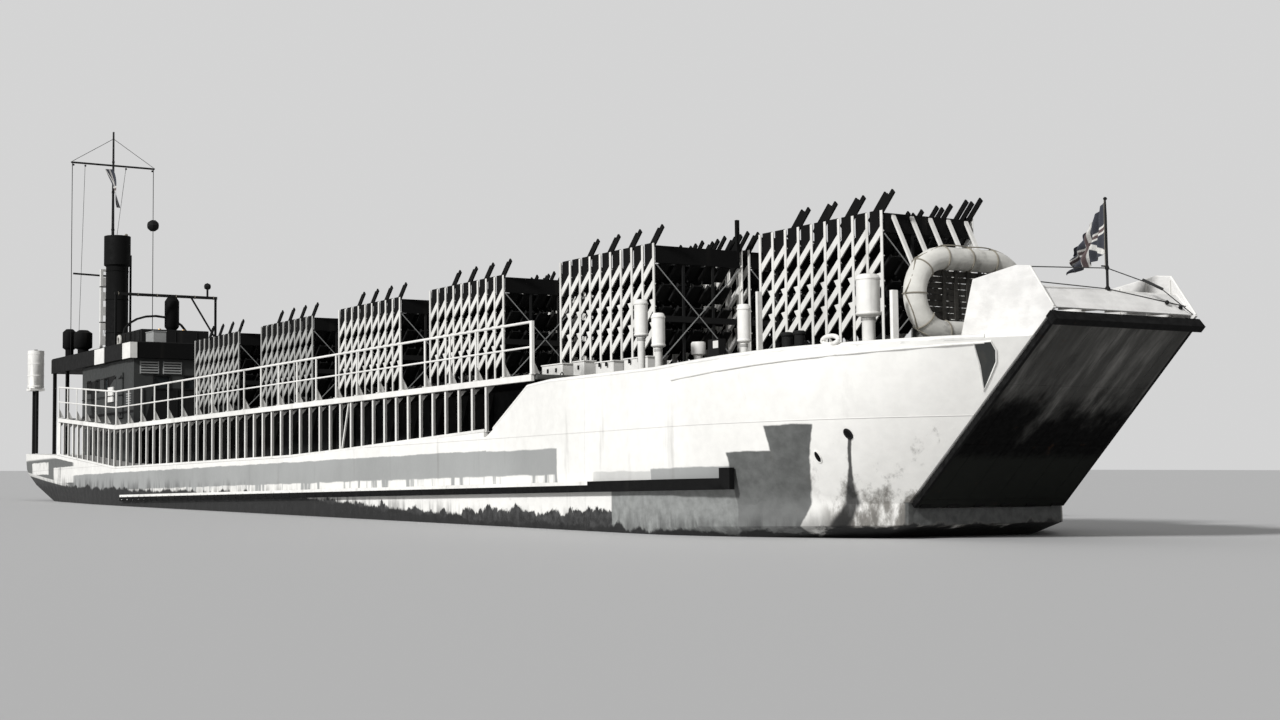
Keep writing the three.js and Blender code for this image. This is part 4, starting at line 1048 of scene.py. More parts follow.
def cloth_grid(columns, rows, place, thickness, finish):
    """A sheet of cloth as a closed thin grid whose points come from place(u, v), with its own UV map."""
    sketch = Sketch(finish)
    grid = [[Vector(place(i / columns, j / rows)) for j in range(rows + 1)] for i in range(columns + 1)]
    points, faces = [], []
    for lift in (-0.5, 0.5):
        for i, line in enumerate(grid):
            for j, point in enumerate(line):
                before = grid[max(i - 1, 0)][j]
                after = grid[min(i + 1, columns)][j]
                low, high = line[max(j - 1, 0)], line[min(j + 1, rows)]
                normal = (after - before).cross(high - low).normalized()
                points.append(point + normal * lift * thickness)
    layer = (columns + 1) * (rows + 1)

    def at(i, j):
        return i * (rows + 1) + j

    for i in range(columns):
        for j in range(rows):
            quad = (at(i, j), at(i + 1, j), at(i + 1, j + 1), at(i, j + 1))
            faces += [quad[::-1], tuple(k + layer for k in quad)]
    rim = [at(i, 0) for i in range(columns + 1)] + [at(columns, j) for j in range(1, rows + 1)]
    rim += [at(i, rows) for i in range(columns - 1, -1, -1)] + [at(0, j) for j in range(rows - 1, 0, -1)]
    for a, b in round_pairs(rim):
        faces.append((a, b, b + layer, a + layer))
    sketch.add(points, faces)
    sketch.mesh.verts.index_update()
    cloth = sketch.mesh.loops.layers.uv.new("cloth")
    for face in sketch.mesh.faces:
        for loop in face.loops:
            index = loop.vert.index % layer
            loop[cloth].uv = (index // (rows + 1) / columns, index % (rows + 1) / rows)
    return sketch


def flag_place(u, v):
    """Ensign at rest: hoist along the staff, fly drooping aft in deep folds."""
    hoist = Vector((57.555, 0, 6.15 + 0.94 * v))
    tip = Vector((56.66 + 0.10 * v, 0, 5.83 + 0.34 * v))
    middle = Vector((57.02 + 0.22 * v, 0, 5.90 + 0.92 * v))
    ease = 1 - u
    point = hoist * ease * ease + middle * 2 * u * ease + tip * u * u
    swing = 0.052 * min(1, u * 5)
    return (point.x, swing * math.sin(u * 31 + v * 2.2) + 0.09 * u * math.sin(v * 12.6 + u * 4),
            point.z + 0.02 * math.sin(u * 23 + v * 5) * u)


def ensign():
    """Ensign on the staff at the bow."""
    sketch = cloth_grid(96, 22, flag_place, 0.008, BUNTING)
    piece = finished(sketch, "ensign_cloth", replaces=("ensign",), smooth=60)


# Decks


def planked_deck():
    """Raised deck, with the lips of its hatches and the ring bolts between the racks."""
    def fittings(sketch):
        for x in (14.0, 21.6, 27.8, 33.9, 40.5, 47.3):
            sketch.use(DECK).block((x - 0.42, x + 0.42), (-0.42, 0.42), (4.56, 4.585 if x > 14.5 else 4.60))
        ring = Sketch(BLACK_PAINT)
        for _, side in SIDES:
            ring.tube(circle((15.2, side * 3.3, 4.64), 0.07, 10, rise=UP), 0.014, 6, closed=True)
        repeat(sketch, ring, 15, (2.0, 0, 0))

    dressed("rack_deck", DECK, bevel=0.01, extra=fittings)


# Racks


RAIL_RUN = Vector((RACK_COLUMN, 0, RACK_RISE)).normalized()
RAIL_UP = Vector((-RAIL_RUN.z, 0, RAIL_RUN.x))
RACK_HEIGHT = RACK_TOP - RACK_FOOT
COLUMNS = round(RACK_LENGTH / RACK_COLUMN)
NEXT_COLUMN = (RACK_COLUMN, 0, 0)
NEXT_TIER = (0, 0, RACK_TIER)
FIRST_RAIL = 0.06 + RACK_TIER


def rack_plane(sketch, y0, inward, paint):
    """Side plane of a rack: angle posts, tiers of sloping flat rails with their gussets, shutters on top."""
    high, low, top = FIRST_RAIL + RACK_RISE, FIRST_RAIL + RACK_TIER * 3, RACK_HEIGHT + 0.05

    def across(depth0, depth1):
        return sorted((y0 + depth0 * inward, y0 + depth1 * inward))

    def panel(finish, depth, thickness, *outline):
        """Plate that faces across the craft, at a depth in from the rack's side."""
        return Sketch(finish).plate([(x, y0 + depth * inward, z) for x, z in outline], thickness)

    post = Sketch(paint).block((0.0, 0.075), across(0, 0.012), (0, RACK_HEIGHT + 0.03))
    post.block((0.0, 0.012), across(0.012, 0.07), (0, RACK_HEIGHT + 0.03))
    repeat(sketch, post, COLUMNS + 1, NEXT_COLUMN)
    start = Vector((0.02, y0 + 0.03 * inward, FIRST_RAIL))
    rail = Sketch(paint).bar(start, start + RAIL_RUN * (0.48 / RAIL_RUN.x), 0.03, 0.14, up=RAIL_UP)
    repeat(sketch, rail, COLUMNS, NEXT_COLUMN, 4, NEXT_TIER)
    gusset = panel(paint, 0.02, 0.02, (0.31, high + 0.13), (0.475, high + 0.15), (0.475, high - 0.12))
    repeat(sketch, gusset, COLUMNS, NEXT_COLUMN, 2, NEXT_TIER)
    shutter = panel(BLACK_PAINT, 0.045, 0.02, (0.10, low + 0.10), (0.445, low + 0.44), (0.445, top),
                    (0.10, top))
    repeat(sketch, shutter, COLUMNS, NEXT_COLUMN)
    # Black sheet low behind each column, painted shade for the rack's dark inside
    shade_sheet = panel(BLACK_PAINT, 0.095, 0.014, (0.09, 0.05), (0.455, 0.05), (0.455, 0.52), (0.09, 0.30))
    repeat(sketch, shade_sheet, COLUMNS, NEXT_COLUMN)


def rack_tips(sketch, y0, inward, bars):
    """Ends of the inner guides, which lean forward over the top in groups at every second column."""
    tip = Sketch(BLACK_PAINT)
    for i in range(bars):
        foot = Vector((-0.10 - 0.17 * i, y0 + (0.05 + 0.045 * i) * inward, RACK_HEIGHT - 0.14))
        tip.bar(foot, foot + Vector((1, 0, 0.98)) * (0.54 - 0.05 * (i % 2)), 0.04, 0.11,
                up=Vector((-1, 0, 1)))
    group = Sketch(BLACK_PAINT)
    repeat(group, tip, 4, (-2 * RACK_COLUMN, 0, 0))
    group.mesh.transform(Matrix.Translation((RACK_LENGTH - 0.05, 0, 0)))
    sketch.use(BLACK_PAINT).take(mesh_of(group))


def rack(x_fore, y_low, bars, paint):
    """A rack: side planes, rows of sloping guides between them, braced end frames, tips over the top."""
    sketch = Sketch(paint)
    for y0, inward in ((0.0, 1), (RACK_WIDTH, -1)):
        rack_plane(sketch, y0, inward, paint)
        rack_tips(sketch, y0, inward, bars)
    # The guides' dark paint also stands as painted shade, so the rack's inside reads dark
    rows, pitch = 5, 0.42
    for row in range(rows):
        y = RACK_WIDTH / 2 + (row - (rows - 1) / 2) * pitch
        start = Vector((0.10, y, 0.62))
        guide = Sketch(DARK_PAINT).prism(channel_section(0.24, 0.08, 0.02), start, start + RAIL_RUN * 0.52,
                                         up=RAIL_UP)
        repeat(sketch, guide, COLUMNS, NEXT_COLUMN, 4, NEXT_TIER)
    fore = RACK_LENGTH + RACK_POST
    for x0 in (0.0, fore - RACK_POST):
        for z0, z1, finish in ((RACK_HEIGHT - 0.42, RACK_HEIGHT - 0.02, BLACK_PAINT),
                               (1.15, 1.29, DARK_PAINT), (0.0, 0.12, DARK_PAINT)):
            sketch.use(finish).block((x0 + 0.005, x0 + 0.065), (0.08, RACK_WIDTH - 0.08), (z0, z1))
        sketch.use(DARK_PAINT)
        for y in (RACK_WIDTH / 3, RACK_WIDTH * 2 / 3):
            sketch.block((x0 + 0.01, x0 + 0.05), (y - 0.03, y + 0.03), (0.1, RACK_HEIGHT - 0.1))
    x = fore - 0.012
    for y0, y1 in ((0.06, RACK_WIDTH - 0.08), (RACK_WIDTH - 0.08, 0.06)):
        sketch.use(PALE_GREY_PAINT).bar((x, y0, RACK_HEIGHT - 0.45), (x, y1, 0.15), 0.022, 0.012, up=FORWARD)
    sketch.mesh.transform(Matrix.Translation((x_fore - fore, y_low, RACK_FOOT)))
    return sketch


def racks():
    """A single rack forward with its raking struts, then five pairs."""
    for letter, x_fore in RACKS:
        places = ((("", -RACK_WIDTH / 2),) if letter == "a" else
                  (("_starboard", -0.1 - RACK_WIDTH), ("_port", 0.1)))
        for suffix, y_low in places:
            node = f"rack_{letter}{suffix}"
            # The aft racks take the rack white darkened as painted shade
            paint = RACK_PAINTED_SHADE if letter in "ef" else RACK_WHITE
            sketch = rack(x_fore, y_low, 3 if letter == "a" else 2, paint)
            if letter == "a":
                raking_struts(sketch, x_fore)
            # Dark rod that stands at the second rack's fore end
            if node == "rack_b_starboard":
                sketch.use(BLACK_PAINT).bar((x_fore - 0.04, -0.22, 7.2), (x_fore - 0.04, -0.22, 8.21), 0.08)
            finished(sketch, "tiered_" + node, replaces=(node,))


def raking_struts(sketch, x_fore):
    """Raking struts from the forward rack's top to a sill on the deck."""
    sill = x_fore + 1.5
    shoe = ((-0.16, 0.10), (0.05, 0.10), (-0.06, 0.28))
    sketch.use(RACK_WHITE)
    for y in (-0.95, -0.45, 0.05, 0.55, 1.05):
        sketch.bar((x_fore - 0.02, y, RACK_TOP - 0.06), (sill, y, RACK_FOOT + 0.06), 0.09, 0.05, up=FORWARD)
        sketch.plate([(sill + u, y, RACK_FOOT + v) for u, v in shoe], 0.13)
    sketch.block((sill - 0.08, sill + 0.08), (-1.05, 1.15), (RACK_FOOT, RACK_FOOT + 0.09))


# Gallery and rails


def gallery_stanchions(sketch, side):
    """Stanchions with their knees and foot plates, the aftermost one broad."""
    sketch.use(WHITE_PAINT)
    for x in stations(GALLERY_AFT, GALLERY_END, 0.7):
        skin = along(HALF_BEAM, x) - 0.05
        foot, head = along(LOWER_DECK, x) + 0.004, along(UPPER_DECK, x) - 0.14
        half = 0.21 if x == GALLERY_AFT else 0.0425
        sketch.block((x - half, x + half), band(side, skin - 0.012, skin), (foot, head))
        sketch.block((x - 0.008, x + 0.008), band(side, skin - 0.09, skin), (foot, head))
        knee = ((skin, head), (skin - 0.26, head), (skin, head - 0.28))
        sketch.plate([(x, side * y, z) for y, z in knee], 0.012)
        sketch.block((x - 0.07, x + 0.07), band(side, skin - 0.10, skin + 0.02), (foot, foot + 0.014))


def galleries():
    """Stanchions along the side deck with their knees, the gunwale bar and the raised deck's edge beam."""
    edge = [GALLERY_AFT, *SIDE_KNUCKLES, GALLERY_END, GALLERY_FORE]
    for name, side in SIDES:
        sketch = Sketch(WHITE_PAINT)
        gallery_stanchions(sketch, side)
        for x0, x1 in zip(edge, edge[1:]):
            for line, depth, lift in ((UPPER_DECK, 0.15, -0.075), (LOWER_DECK, 0.07, 0.04)):
                if line is LOWER_DECK and x1 > GALLERY_END + 0.01:
                    continue
                ends = [(x, side * (along(HALF_BEAM, x) - 0.045), along(line, x) + lift) for x in (x0, x1)]
                sketch.bar(*ends, 0.09, depth)
        under = [(x, side * (along(HALF_BEAM, x) - 0.15), along(UPPER_DECK, x) - 0.16) for x in edge[:-1]]
        pipes(sketch, DARK_PAINT, 0.03, under)
        # Raking strut just forward of the lower deck's step
        sketch.use(WHITE_PAINT).bar((33.5, side * 4.62, 3.12), (33.95, side * 4.62, 4.40), 0.05)
        finished(sketch, "gallery_stanchions_" + name, replaces=("gallery_" + name,),
                 bevel=0.006)


def guard_rails():
    """Posts with two rails along the raised deck's edge, the foremost post stouter."""
    runs = (("guard_rail_aft_", stations(GALLERY_AFT, 13.99, 1.4)),
            ("guard_rail_", stations(14.02, GALLERY_FORE - 0.03, 1.4)))
    for name, side in SIDES:
        for run, places in runs:
            sketch = Sketch(WHITE_PAINT)
            for x in places:
                y, deck = side * (along(HALF_BEAM, x) - 0.05), along(UPPER_DECK, x) + 0.004
                width, depth = (0.10, 0.07) if x > 44 else (0.06, 0.03)
                sketch.bar((x, y, deck), (x, y, deck + 1.24), width, depth, up=TO_PORT)
                sketch.block((x - 0.07, x + 0.07), (y - 0.05, y + 0.05), (deck, deck + 0.02))
                foot = deck + 0.02
                sketch.plate([(x, y, foot), (x, y - side * 0.2, foot), (x, y, deck + 0.4)], 0.014)
            bends = [places[0], *[x for x in SIDE_KNUCKLES if places[0] < x < places[-1]], places[-1]]
            for height, radius in ((1.22, 0.032), (0.64, 0.024)):
                rail = []
                for x in bends:
                    rail.append((x, side * (along(HALF_BEAM, x) - 0.05), along(UPPER_DECK, x) + height))
                pipes(sketch, WHITE_PAINT, radius, rail)
            node = run + name
            finished(sketch, node.replace("rail", "rails"), replaces=(node,))


# Deck gear forward


def stadium(straight, bend, steps=20):
    """Points of an oval with straight long sides, as (along, up) pairs."""
    points = []
    for end in (1, -1):
        for i in range(steps + 1):
            angle = math.pi / 2 - math.pi * i / steps
            points.append((end * (straight + math.cos(angle) * bend), end * math.sin(angle) * bend))
    return points


def life_float():
    """Canvas-covered oval float on its edge in two chocks: lashings, looped grab line, slatted floor."""
    deck = 4.578
    x, y, z = 54.9, -1.025, deck + 0.95
    tube, bend, straight = 0.225, 0.72, 0.625
    sketch = Sketch(FLOAT_CANVAS)
    oval = stadium(straight, bend)
    dense = []
    for (u0, v0), (u1, v1) in round_pairs(oval):
        steps = max(1, round(math.hypot(u1 - u0, v1 - v0) / 0.12))
        dense += [(u0 + (u1 - u0) * i / steps, v0 + (v1 - v0) * i / steps) for i in range(steps)]
    sketch.tube([(x, y + u, z + v) for u, v in dense], tube, 22, closed=True)
    lashed = dense[::max(1, len(dense) // 12)]
    for u, v in lashed:
        centre = Vector((x, y + u, z + v))
        out = Vector((0, u - max(-straight, min(straight, u)), v)).normalized()
        sketch.use(ROPE).tube(circle(centre, tube + 0.008, 20, out, FORWARD), 0.016, 6, closed=True)
    loops = []
    for (u0, v0), (u1, v1) in round_pairs(lashed):
        for i in range(6):
            share = i / 6
            u, v = u0 + (u1 - u0) * share, v0 + (v1 - v0) * share
            out = Vector((0, u - max(-straight, min(straight, u)), v)).normalized()
            sag = 0.09 * math.sin(math.pi * share)
            loops.append(Vector((x, y + u, z + v)) + out * (tube + 0.03) + FORWARD * sag
                         - UP * sag * 0.3 * abs(out.y))
    sketch.tube(loops, 0.014, 6, closed=True)
    sketch.use(SLATS)
    for i in range(9):
        v = -0.52 + 0.118 * i
        half = straight + math.sqrt(max(bend * bend - v * v, 0)) - tube * 0.8
        sketch.block((x - 0.03, x + 0.01), (y - half, y + half), (z + v - 0.052, z + v + 0.052))
    reach = bend - 0.18
    for u in (-straight, -straight / 2, 0, straight / 2, straight):
        sketch.block((x + 0.01, x + 0.04), (y + u - 0.04, y + u + 0.04), (z - reach, z + reach))
    for u in (-0.5, -0.2, 0.1, 0.45):
        sketch.use(ROPE).rod((x - 0.01, y + u, z + reach), (x - 0.01, y + u + 0.05, z - reach), 0.012, 6)
    for side in (-1, 1):
        middle = y + side * 0.55
        sketch.use(DARK_PAINT)
        sketch.block((x - 0.26, x + 0.26), (middle - 0.06, middle + 0.06), (deck, deck + 0.082))
    return finished(sketch, "carley_float", replaces=("life_float",))


# Drum ventilators of a side: place along, place across, deck, drum's underside, drum's top, radius
VENTILATORS = (
    (54.0, 2.78, 4.57, 5.14, 5.98, 0.235),
    (51.5, 3.95, 3.42, 4.77, 5.57, 0.13),
    (48.6, 4.1, 3.42, 4.88, 5.64, 0.145),
    (47.7, 3.95, 3.42, 5.18, 6.02, 0.15),
)


def ventilators():
    """Drum ventilators: flanged stem, louvred throat, drum with rolled rims and a domed lid."""
    for number, (x, y, foot, under, top, radius) in enumerate(VENTILATORS, 1):
        for name, side in SIDES:
            sketch = Sketch(WHITE_PAINT)
            stem, rim = radius * 0.55, radius + 0.012
            flange, neck = stem * 1.5, stem * 1.1
            h0, h1 = under - foot, top - foot
            stack = [(0, 0.004), (flange, 0.004), (flange, 0.025), (stem, 0.03), (stem, h0 - 0.10),
                     (neck, h0 - 0.08), (neck, h0)]
            drum = [(radius, h0 + 0.03), (rim, h0 + 0.045), (rim, h0 + 0.07), (radius, h0 + 0.085),
                    (radius, h1 - 0.13), (rim, h1 - 0.12), (rim, h1 - 0.09), (radius, h1 - 0.08),
                    (radius * 0.92, h1 - 0.04), (radius * 0.7, h1 - 0.012), (0, h1)]
            sketch.turned(stack + drum, (x, side * y, foot), 28)
            sketch.use(BLACK_PAINT)
            for i in range(3):
                z = h0 - 0.075 + i * 0.022
                sketch.turned([(0, z), (stem * 1.16, z), (stem * 1.16, z + 0.008), (0, z + 0.008)],
                              (x, side * y, foot), 20)
            bolts = circle((x, side * y, foot + 0.03), stem * 1.32, 8)
            studs(sketch, WHITE_PAINT, UP, bolts, pitch=stem, radius=0.011, height=0.016)
            finished(sketch, f"drum_ventilator_{number}_{name}",
                     replaces=(f"ventilator_{number}_{name}",))


def bollards(sketch, x, y, z, radius=0.11, height=0.42, gap=0.42):
    """A pair of bollards on their base plate."""
    sketch.block((x - gap / 2 - 0.2, x + gap / 2 + 0.2), (y - 0.14, y + 0.14), (z, z + 0.03))
    for dx in (-gap / 2, gap / 2):
        sketch.turned([(0, 0.03), (radius, 0.03), (radius, height - 0.05), (radius * 1.22, height - 0.02),
                       (radius * 1.22, height + 0.02), (radius * 0.9, height + 0.05), (0, height + 0.06)],
                      (x + dx, y, z), 18)


def foredeck_fittings():
    """Lockers beside the racks, small vents, deck posts, bollards, boxes and fairleads, on both sides."""
    deck = along(UPPER_DECK, 45) + 0.004
    half = Sketch(WHITE_PAINT)
    for x0, x1, y0, height in ((41.7, 42.7, -2.98, 0.38), (43.2, 43.7, -2.98, 0.38),
                               (44.15, 44.95, -2.94, 0.30), (45.4, 46.4, -2.94, 0.30)):
        lid = deck + height
        half.block((x0, x1), (y0, -2.66), (deck, lid))
        half.block((x0 - 0.02, x1 + 0.02), (y0 - 0.02, -2.64), (lid, lid + 0.03))
    half.use(DARK_PAINT)
    for x in (42.0, 42.4, 43.45, 44.4, 44.7, 45.7, 46.1):
        half.block((x - 0.03, x + 0.03), (-3.005, -2.975), (deck + 0.2, deck + 0.3))
    half.use(WHITE_PAINT)
    half.turned([(0, 0), (0.15, 0), (0.15, 0.03), (0.09, 0.04), (0.09, 0.20), (0.155, 0.23), (0.16, 0.47),
                 (0.14, 0.50), (0, 0.51)], (48.3, -2.86, deck), 18)
    posts = ((50.25, -2.95, 1.12, 0.10), (50.6, -2.9, 1.38, 0.12), (55.0, -2.98, 0.98, 0.14))
    for x, y, height, width in posts:
        half.bar((x, y, deck), (x, y, deck + height), width, width * 0.6)
        half.block((x - 0.11, x + 0.11), (y - 0.09, y + 0.09), (deck, deck + 0.02))
    half.use(DARK_PAINT)
    bollards(half, 51.6, -2.78, deck)
    half.block((48.85, 49.25), (-2.99, -2.8), (deck, deck + 0.50))
    half.use(WHITE_PAINT)
    half.block((49.05, 49.24), (-3.0, -2.95), (deck + 0.30, deck + 0.46))
    x, z = FAIRLEAD, along(SHEER, FAIRLEAD)
    y = -(shoulder_at(x, z) - 0.08)
    ring = [(x + math.cos(a) * 0.24, y, z + 0.13 + math.sin(a) * 0.08) for a in turn_angles(20)]
    half.tube(ring, 0.045, 10, closed=True)
    half.mirrored()
    return finished(half, "foredeck_fittings", bevel=0.006)


# Deckhouse and bridge


CORNERS = ((-1, -1), (1, -1), (1, 1), (-1, 1))


def light(sketch, centre, facing, width, height, finish):
    """Glazed light in an opening of a wall, in a flat bolted frame."""
    centre, facing = Vector(centre), Vector(facing)
    across = facing.cross(UP)

    def ring(grow, out):
        return [centre + across * u * (width / 2 + grow) + UP * v * (height / 2 + grow) + facing * out
                for u, v in CORNERS]

    sketch.use(GLASS).plate(ring(-0.002, -0.045), 0.014)
    rim = ring(0.03, 0.011)
    sketch.use(finish)
    for start, end in round_pairs(rim):
        sketch.bar(start, end, 0.06, 0.022, up=facing)
    studs(sketch, finish, facing, ring(0.03, 0.03), pitch=0.15, radius=0.012, height=0.02)


def deckhouse():
    """House with framed lights, hand rails, louvres and boxes, stiffeners and louvred flaps in front."""
    def details(sketch):
        for _, side in SIDES:
            for x in (5.4, 6.5, 7.6):
                light(sketch, (x, side * HOUSE_SIDE, 6.45), (0, side, 0), 0.38, 0.40, DARK_PAINT)
            sketch.use(DARK_PAINT)
            sketch.tube([(x, side * 3.07, 5.95) for x in (4.7, 6.0, 7.4, 8.6)], 0.016, 8)
            for x in (4.75, 6.0, 7.4, 8.55):
                sketch.rod((x, side * 2.99, 5.95), (x, side * 3.07, 5.95), 0.012, 6)
            sketch.bar((4.52, side * 3.008, 5.26), (10.88, side * 3.008, 5.26), 0.016, 0.1)
            sketch.use(PALE_GREY_PAINT)
            for i in range(5):
                z = 5.55 + i * 0.09
                sketch.block((10.1, 10.62), band(side, HOUSE_SIDE, 3.035), (z, z + 0.05))
            sketch.use(WHITE_PAINT).block((7.95, 8.55), band(side, HOUSE_SIDE, 3.06), (5.72, 6.30))
        for y in (-1.9, -0.7, 0.7, 1.9):
            light(sketch, (10.9, y, 6.375), (1, 0, 0), 0.60, 0.45, DARK_PAINT)
        sketch.use(DARK_PAINT)
        for y in (-2.6, -1.3, 0, 1.3, 2.6):
            sketch.bar((10.915, y, 4.95), (10.915, y, 6.1), 0.03, 0.02, up=FORWARD)
        sketch.use(PALE_GREY_PAINT)
        for y0, y1 in ((-2.75, -2.05), (-1.85, -1.15), (1.15, 1.85), (2.05, 2.75)):
            for i in range(5):
                sketch.bar((10.93, y0, 6.72 + 0.1 * i), (10.93, y1, 6.72 + 0.1 * i), 0.05, 0.05)
            for y in (y0, y1):
                sketch.block((10.9, 10.94), (y - 0.02, y + 0.02), (6.68, 7.16))

    dressed("deckhouse", GREY_PAINT, bevel=0.012, extra=details)


def house_doors():
    """Side doors with their hinges, dogs and edge frames."""
    for name, side in SIDES:
        def details(sketch, side=side):
            sketch.use(DARK_PAINT)
            for z in (5.25, 5.92, 6.58):
                sketch.block((9.30, 9.74), band(side, DOOR_SKIN, DOOR_SKIN + 0.018), (z - 0.03, z + 0.03))
            y = side * (DOOR_SKIN + 0.02)
            for x, z in ((8.94, 5.2), (8.94, 6.62), (9.6, 5.2), (9.6, 6.62)):
                sketch.bar((x - 0.06, y, z - 0.05), (x + 0.06, y, z + 0.05), 0.03, up=TO_PORT)
            outline = [(9.02, 5.16), (9.66, 5.16), (9.66, 6.68), (9.02, 6.68)]
            points = [(x, side * (DOOR_SKIN + 0.004), z) for x, z in outline]
            sketch.use(GREY_PAINT)
            for start, end in round_pairs(points):
                sketch.bar(start, end, 0.025, 0.016, up=TO_PORT)

        door = "house_door_" + name
        dressed(door, GREY_PAINT, door, bevel=0.008, extra=details)


def bridge_deck():
    """Deck over the house: rail with its stay plates, white boards at its edge, boxes and a reel."""
    def details(sketch):
        for _, side in SIDES:
            rail = [(x, side * y, 7.86) for x, y in ((0.9, 3.17), (11.05, 3.17), (11.05, 0.55))]
            pipes(sketch, BLACK_PAINT, 0.035, rail)
            stays = Sketch(BLACK_PAINT)
            stays.plate([(1.4, side * y, z) for y, z in ((3.13, 7.84), (3.13, 7.39), (2.9, 7.39))], 0.014)
            repeat(sketch, stays, 9, (1.15, 0, 0))
            sketch.use(DARK_PAINT).block((7.7, 8.5), band(side, 2.3, 2.9), (HOUSE_TOP, 7.74))
            sketch.block((9.2, 10.2), band(side, 1.9, 2.7), (HOUSE_TOP, 7.70))
            for x0, x1 in ((6.75, 7.95), (10.2, 11.1)):
                sketch.use(WHITE_PAINT).block((x0, x1), band(side, 3.2, 3.225), (7.26, 7.86))
            sketch.block((11.1, 11.125), band(side, 2.95, 3.225), (7.26, 7.86))
            sketch.use(PALE_GREY_PAINT).block((9.0, 9.9), band(side, 1.4, 1.9), (HOUSE_TOP, 8.40))
            sketch.block((8.98, 9.92), band(side, 1.38, 1.92), (8.40, 8.43))
        sketch.use(DARK_PAINT)
        reel = [(0, 0), (0.34, 0), (0.34, 0.03), (0.14, 0.03), (0.14, 0.42), (0.34, 0.42), (0.34, 0.45),
                (0, 0.45)]
        sketch.turned(reel, (8.5, -0.22, 7.72), 20, axis=TO_PORT)
        for y in (-0.16, 0.16):
            sketch.plate([(8.3, y * 1.9, HOUSE_TOP), (8.7, y * 1.9, HOUSE_TOP), (8.5, y * 1.9, 7.78)], 0.03)

    dressed("bridge_deck", DARK_PAINT, bevel=0.012, extra=details)


def bridge():
    """Open bridge: stiffened bulwark with its rail, ring buoys, voice pipes and a compass stand."""
    def details(sketch):
        sketch.use(DARK_PAINT)
        for _, side in SIDES:
            for x in (4.4, 5.0, 5.6, 6.2, 6.8):
                y = side * BRIDGE_SIDE
                sketch.bar((x, y, BRIDGE_FOOT), (x, y, BRIDGE_TOP), 0.02, 0.04, up=TO_PORT)
            corners = ((4.02, 0.45), (4.02, 1.38), (6.98, 1.38), (6.98, 0))
            pipes(sketch, DARK_PAINT, 0.03, [(x, side * y, BRIDGE_TOP + 0.03) for x, y in corners])
            sketch.use(FLOAT_CANVAS)
            sketch.tube(circle((4.45, side * 1.48, 8.45), 0.19, 24, rise=UP), 0.065, 12, closed=True)
        sketch.use(DARK_PAINT)
        for y in (-0.9, 0, 0.9):
            sketch.bar((7.005, y, BRIDGE_FOOT), (7.005, y, BRIDGE_TOP), 0.04, 0.02, up=TO_PORT)
        for y in (-0.5, 0.5):
            pipes(sketch, BRONZE, 0.03, [(6.7, y, BRIDGE_FOOT), (6.7, y, 8.55), (6.62, y, 8.68)])
            sketch.rod((6.62, y, 8.66), (6.52, y, 8.80), 0.03, 12, 0.07)
        stand = [(0, 0), (0.14, 0), (0.1, 0.04), (0.09, 0.95), (0.2, 1.0), (0.2, 1.12), (0.12, 1.2),
                 (0, 1.22)]
        sketch.use(DARK_PAINT).turned(stand, (6.1, 0, BRIDGE_FOOT), 18)

    dressed("bridge", DARK_PAINT, bevel=0.01, extra=details)


def awning_frame():
    """Spar on posts with its lashings."""
    def details(sketch):
        sketch.use(ROPE)
        for y in (-2.0, -1.2, -0.4, 0.4, 1.2, 2.0):
            sketch.tube(circle((SPAR_X, y, SPAR_Z), 0.062, 12, rise=UP), 0.016, 6, closed=True)

    dressed("awning_frame", DARK_PAINT, bevel=0.006, extra=details)


def funnel():
    """Funnel with its bands, rungs, steam pipe and the bolts of its foot."""
    def details(sketch):
        x, y = FUNNEL_X, FUNNEL_Y
        for z in (7.6, 8.9, 10.3, 11.5):
            sketch.use(BLACK_PAINT).tube(circle((x, y, z), FUNNEL_BAND, 28), 0.018, 6, closed=True)
        aft = x - FUNNEL_BAND - 0.012
        rung = Sketch(BLACK_PAINT).bar((aft, y - 0.12, 8.0), (aft, y + 0.12, 8.0), 0.02)
        repeat(sketch, rung, 11, (0, 0, 0.33))
        pipes(sketch, BLACK_PAINT, 0.05, [(x + 0.12, y + 0.53, 7.45), (x + 0.12, y + 0.53, 12.2)])
        foot = circle((x, y, 7.42), 0.57, 24)
        studs(sketch, BLACK_PAINT, UP, foot + foot[:1], pitch=0.24, radius=0.02, height=0.02)

    dressed("funnel", BLACK_PAINT, bevel=0.01, extra=details)


def mast():
    """Mast with its bands, blocks under the yard, lamp bracket, halyards and the lifts of the yard."""
    def details(sketch):
        sketch.use(DARK_PAINT)
        for z in (8.6, 10.2, 11.8, 13.4, 15.0, 16.3):
            radius = 0.104 - 0.055 * (z - MAST_FOOT) / MAST_LENGTH
            sketch.rod((MAST_X, MAST_Y, z - 0.04), (MAST_X, MAST_Y, z + 0.04), radius, 16)
        for y in (-2.7, -2.2, -0.45, 0.7):
            sketch.ball((MAST_X, y, YARD), 0.045, 10)
        sketch.use(WIRE)
        for y, foot in ((-2.2, (1.5, -2.3, BRIDGE_FOOT)), (-0.45, (2.2, -1.6, BRIDGE_FOOT))):
            sketch.rod((MAST_X - 0.04, y, YARD - 0.02), foot, 0.011, 5)
        for y in (-2.75, 0.75):
            sketch.rod((MAST_X, MAST_Y, YARD + 1.25), (MAST_X, y, YARD + 0.15), 0.013, 5)
        sketch.use(BLACK_PAINT).block((1.9, 2.1), (-1.22, -1.06), (10.6, 10.82))
        sketch.use(ROPE).ball((MAST_X, -0.42, 13.2), 0.07, 12)

    dressed("mast", DARK_PAINT, bevel=0.004, extra=details)


def pennant_place(u, v):
    """Signal pennant hanging beside the mast, twisted once, narrowing to its fly."""
    turn = 2.6 * u + 0.25
    reach = (v - 0.5) * PENNANT_FLAT[1] / SCALE * (1 - 0.45 * u)
    middle_y = -1.24 + 0.46 * u + 0.05 * math.sin(u * 5)
    return (2.2 + reach * math.sin(turn), middle_y + reach * math.cos(turn), 15.95 - 1.62 * u)


def pennant():
    """Signal pennant beside the mast."""
    sketch = cloth_grid(60, 10, pennant_place, 0.008, BUNTING)
    piece = finished(sketch, "signal_pennant", smooth=60)


